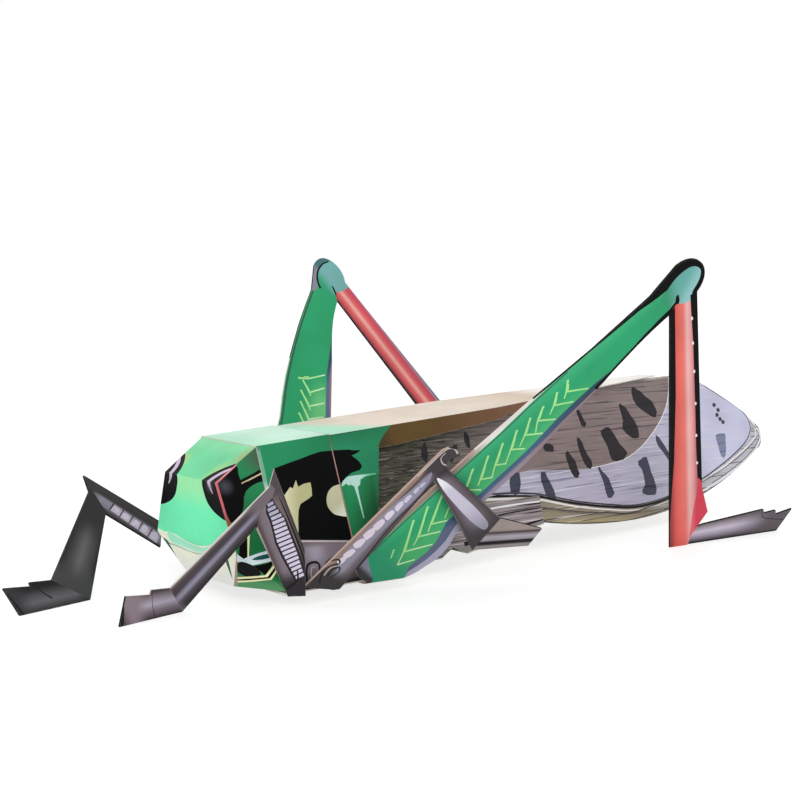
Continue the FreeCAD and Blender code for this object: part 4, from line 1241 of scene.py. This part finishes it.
front_planes = {
    "left": LegPlane((1.7, -35.6, 5), (-13.2, -40.3, 36.4), (-27.8, -16.3, 0)),
    "right": LegPlane((1.7, 35.6, 5), (-22.6, 47.7, 25.9), (-42.7, 15.4, 0)),
}
left_thigh_stops = [
    (0, (176, 160, 156)), (0.05, (72, 62, 66)), (0.20, (122, 110, 116)), (0.40, (130, 120, 128)),
    (0.70, (120, 108, 114)), (0.86, (112, 98, 100)), (0.96, (70, 60, 62)), (1, (44, 38, 40))]
right_thigh_stops = [
    (0, (40, 36, 38)), (0.10, (66, 62, 66)), (0.22, (128, 124, 140)), (0.52, (140, 136, 152)),
    (0.60, (74, 70, 76)), (0.68, (38, 36, 38)), (0.9, (52, 50, 52)), (1, (26, 25, 26))]
ink_left_thigh = printed_card(
    "ink_left_thigh", airbrushed((-3.3, -0.055), (7, -0.02), left_thigh_stops),
    [((40, 36, 40), nearer(10, 4)), ((82, 72, 76), further(33, 37))])
ink_right_thigh = printed_card(
    "ink_right_thigh", airbrushed((-2.4, -0.03), (10.6, -0.095), right_thigh_stops),
    [((46, 43, 46), further(33, 38))])
ink_rung = printed_card("ink_rung", (214, 206, 226), [((176, 172, 196), further(22, 34))])
ink_ladder = printed_card("ink_ladder", (44, 40, 48), sheen=0.08)
ink_block = printed_card("ink_block", (150, 146, 166), [((196, 184, 202), lower(3.4, 1.6))])
left_shin_stops = [
    (0, (214, 206, 204)), (0.06, (104, 92, 92)), (0.2, (70, 62, 66)), (0.36, (74, 68, 76)),
    (0.48, (136, 134, 154)), (0.56, (146, 144, 164)), (0.68, (88, 82, 92)), (0.84, (56, 50, 55)),
    (1, (30, 27, 31))]
right_shin_stops = [
    (0, (16, 15, 16)), (0.08, (34, 32, 34)), (0.26, (66, 63, 66)), (0.5, (98, 94, 99)),
    (0.72, (72, 68, 72)), (0.9, (50, 47, 50)), (0.96, (20, 19, 20)), (1, (16, 15, 16))]
ink_left_shin = printed_card(
    "ink_left_shin", airbrushed((-1.6, -0.155), (3.75, -0.0815), left_shin_stops),
    [((118, 106, 112), nearer(9, 2)), ((128, 118, 128), further(42, 46.5))])
ink_right_shin = printed_card(
    "ink_right_shin", airbrushed((-4, -0.228), (4, -0.0867), right_shin_stops),
    [((32, 30, 32), nearer(24, 10)), ((62, 59, 62), further(31, 42))])
left_foot_stops = [
    (0, (22, 19, 21)), (0.07, (70, 62, 66)), (0.3, (126, 114, 124)), (0.52, (176, 168, 184)),
    (0.74, (134, 122, 130)), (0.92, (76, 66, 70)), (1, (60, 52, 54))]
right_foot_stops = [
    (0, (34, 32, 34)), (0.12, (66, 63, 66)), (0.38, (98, 94, 100)), (0.62, (78, 74, 79)),
    (0.86, (42, 39, 42)), (1, (18, 17, 18))]
ink_left_foot = printed_card(
    "ink_left_foot", airbrushed((0, 0), (8.8, 0), left_foot_stops),
    [((138, 122, 130), further(13, 19)), ((60, 52, 56), slope(1, -0.6, 18, 24))])
ink_right_foot = printed_card(
    "ink_right_foot", airbrushed((0, 0), (8, 0), right_foot_stops),
    [((50, 47, 50), further(20, 27)), ((44, 41, 44), nearer(5, -1))])

left_low = [
    (3.9, 3), (5, 1.2), (9.1, 0.6), (14, -0.1), (19.6, -0.6), (24.1, -0.2), (27.7, 0), (30.6, -0.2),
    (33.9, 0.7)]
left_high = [(6.9, 4.2), (12.4, 4.4), (17.9, 4.2), (26.2, 4), (31.4, 2.7), (34.8, 2.2)]
left_frame = [(x, y - 0.5) for x, y in left_low]
left_frame += [(x + 0.3, y + 0.9 - x * 0.015) for x, y in left_high[::-1]]
left_marks = [Shape(ink_ladder, left_frame)]
rung_step, rung_width, rung_lean = 1.62, 1.12, 0.5
for x in np.arange(5, 34, rung_step):
    foot = float(np.interp(x, *zip(*left_low))) + 0.2
    head = float(np.interp(x, *zip(*left_high))) - 0.1
    rung = [(x, foot), (x + rung_width, foot), (x + rung_width + rung_lean, head), (x + rung_lean, head)]
    left_marks.append(Shape(ink_rung, rung))
left_marks += [
    drawn(ink_dark_and_shadow, [(34.6, 4.6), (26, 5.2), (12, 5.6), (2, 4.6)], 0.25, 0.9),
    drawn(ink_dark_and_shadow, [(2.6, -2.4), (4.6, 1.6), (8, 2.6)], 0.9, 0.4),
]
right_marks = []
for x in (9, 13, 17, 21, 25):
    foot = -1.4 + 0.02 * x
    head = 4.7 - 0.06 * x
    block = [(x, foot), (x + 3.7, foot), (x + 3.5, head), (x - 0.2, head)]
    light = [(x + 0.9, foot + 1), (x + 2.9, foot + 1), (x + 2.6, head - 0.8), (x + 0.8, head - 0.8)]
    right_marks.append(Shape(ink_block, block))
    right_marks.append(Shape(ink_rung, ragged(light, 0.3)))
    right_marks.append(drawn(ink_ladder, [(x + 3.9, foot), (x + 3.6, head)], 0.5, 0.6))
left_cover = [(-5, 0.6), (-2, 1.6), (3, 1.2), (9.4, 3.4), (12, 6), (60, 12), (60, -26), (-8, -8)]
right_cover = [(-3.4, -3), (-1, -0.6), (4.6, 3.8), (12, 6), (60, 12), (60, -26), (-4, -12)]
front = {
    "left": (ink_left_thigh, left_marks, ink_left_shin, left_cover, ink_left_foot),
    "right": (ink_right_thigh, right_marks, ink_right_shin, right_cover, ink_right_foot),
}
front_feet = {
    "left": foot_place((-27.8, -16.3, 0), (-52, -20.8, 0), (-49.5, -20.2, 8.8)),
    "right": foot_place((-42.7, 15.4, 0), (-68.9, 10.2, 0), (-72, 15.6, 7.9)),
}
foot_lines = {
    "left": [
        drawn(ink_ladder, [(11.2, 0.6), (12, 4.6), (12, 8.6)], 0.25, 0.15),
        Shape(ink_dark_and_shadow, [(24.2, -0.6), (23, 0.7), (22.6, 9.6), (26, 9.6), (27, -0.6)])],
    "right": [
        drawn(ink_dark_and_shadow, [(17.4, 8.4), (15.6, 5.6), (13.4, 3.2)], 0.35, 0.6),
        drawn(ink_dark_and_shadow, [(25.6, 0), (28.2, 8)], 0.9, 0.7)],
}
for side, plane in front_planes.items():
    ink_thigh, marks, ink_front_shin, cover, ink_foot = front[side]

    def front_rim(middle, plane=plane, side=side):
        along, up = plane.flat(middle)
        t, s = plane.shin_place((along, up))
        pale = side == "left" and t < 44 and (s < -2 or (up < -1 and along < 26))
        return edge_pale if pale else edge_black

    card_piece(f"front_leg_{side}", [
        Panel(plane.shows, plane.flat, ink_thigh, marks + [plane.shin_shape(ink_front_shin, cover)]),
        Panel(faces_aside, front_feet[side], ink_foot, foot_lines[side]),
    ], thickness=leg_card, rim=front_rim)

# ------------------------------------------------------------------------ the table and the light
# A white table top that runs out of sight, one large soft lamp high on the left in front, and
# a white room. To the eye the table is as white as the room, with a faint shadow.

floor_mesh = bpy.data.meshes.new("table_top")
half = 3.0      # half of the table's side
floor_corners = [(-half, -half, 0), (half, -half, 0), (half, half, 0), (-half, half, 0)]
floor_mesh.from_pydata(floor_corners, [], [(0, 1, 2, 3)])
floor = bpy.data.objects.new("table_top", floor_mesh)
bpy.context.scene.collection.objects.link(floor)


def to_the_eye(finish):
    """1 where the camera sees a thing, straight on or in a gloss, and 0 where it lights others."""
    straight = finish.node("LightPath", output="Is Camera Ray")
    in_gloss = finish.node("LightPath", output="Is Glossy Ray")
    through = finish.node("LightPath", output="Is Transmission Ray")
    return finish.node("Math", {"operation": "MAXIMUM"}, {
        0: finish.node("Math", {"operation": "MAXIMUM"}, {0: straight, 1: in_gloss}), 1: through})


finish = Finish(bpy.data.materials.new("white_table"))
fine = finish.noise(0.9, 3)
broad = finish.noise(0.01, 2)
seen = to_the_eye(finish)
dimmed = 0.62       # how much darker the eye sees the table's own white, so its glow can lift it
warmth = 0.995
level = (0.90 + (broad - 0.5) * 0.02 + (fine - 0.5) * 0.012) * (1.0 - seen * dimmed)
base = finish.node("CombineColor", None, {0: level, 1: level, 2: level * warmth})
finish.feed(finish.surface.inputs["Base Color"], base)
glow = seen * 0.74
glow = finish.node("CombineColor", None, {0: glow, 1: glow, 2: glow * warmth})
finish.feed(finish.surface.inputs["Emission Color"], glow)
finish.surface.inputs["Emission Strength"].default_value = 1.0
finish.feed(finish.surface.inputs["Roughness"], 0.55 + (fine - 0.5) * 0.1)
bump = finish.node("Bump", None, {"Strength": 0.2, "Distance": relief_height, "Height": fine})
finish.feed(finish.surface.inputs["Normal"], bump)
finish.surface.inputs["Specular IOR Level"].default_value = 0.1
floor_mesh.materials.append(finish.owner)

lamp_data = bpy.data.lights.new("soft_lamp", "AREA")
lamp_data.shape = "RECTANGLE"
lamp_data.size = 1.2
lamp_data.size_y = 0.9
lamp_data.energy = 7.5
lamp = bpy.data.objects.new("soft_lamp", lamp_data)
lamp.location = (-1.1, -1, 1.2)
lamp.rotation_euler = (Vector((0, 0, 0.03)) - lamp.location).to_track_quat("-Z", "Y").to_euler()
bpy.context.scene.collection.objects.link(lamp)

world = bpy.data.worlds.new("white_room")
bpy.context.scene.world = world
room = Finish(world)
room.tree.nodes.clear()
seen = to_the_eye(room)
lit = room.node("Background", None, {"Color": (1, 1, 1, 1), "Strength": 0.85})
shown = room.node("Background", None, {"Color": (1, 1, 1, 1), "Strength": 1.0})
chosen = room.node("MixShader", None, {0: seen, 1: lit, 2: shown})
out = room.tree.nodes.new("ShaderNodeOutputWorld")
room.feed(out.inputs["Surface"], chosen)
bpy.context.scene.view_settings.view_transform = "Standard"

# ------------------------------------------------------------------------------------- the camera
# Low in front of the locust and to its left, looking back along it.

camera_data = bpy.data.cameras.new("camera")
camera_data.lens = 65.57
camera_data.sensor_width = 36.0
camera_data.dof.use_dof = False
camera = bpy.data.objects.new("camera", camera_data)
camera.location = (-0.35889, -0.4, 0.10945)
camera.rotation_euler = (math.radians(90 - 5.671), 0, math.radians(-39.396))
bpy.context.scene.collection.objects.link(camera)
bpy.context.scene.camera = camera
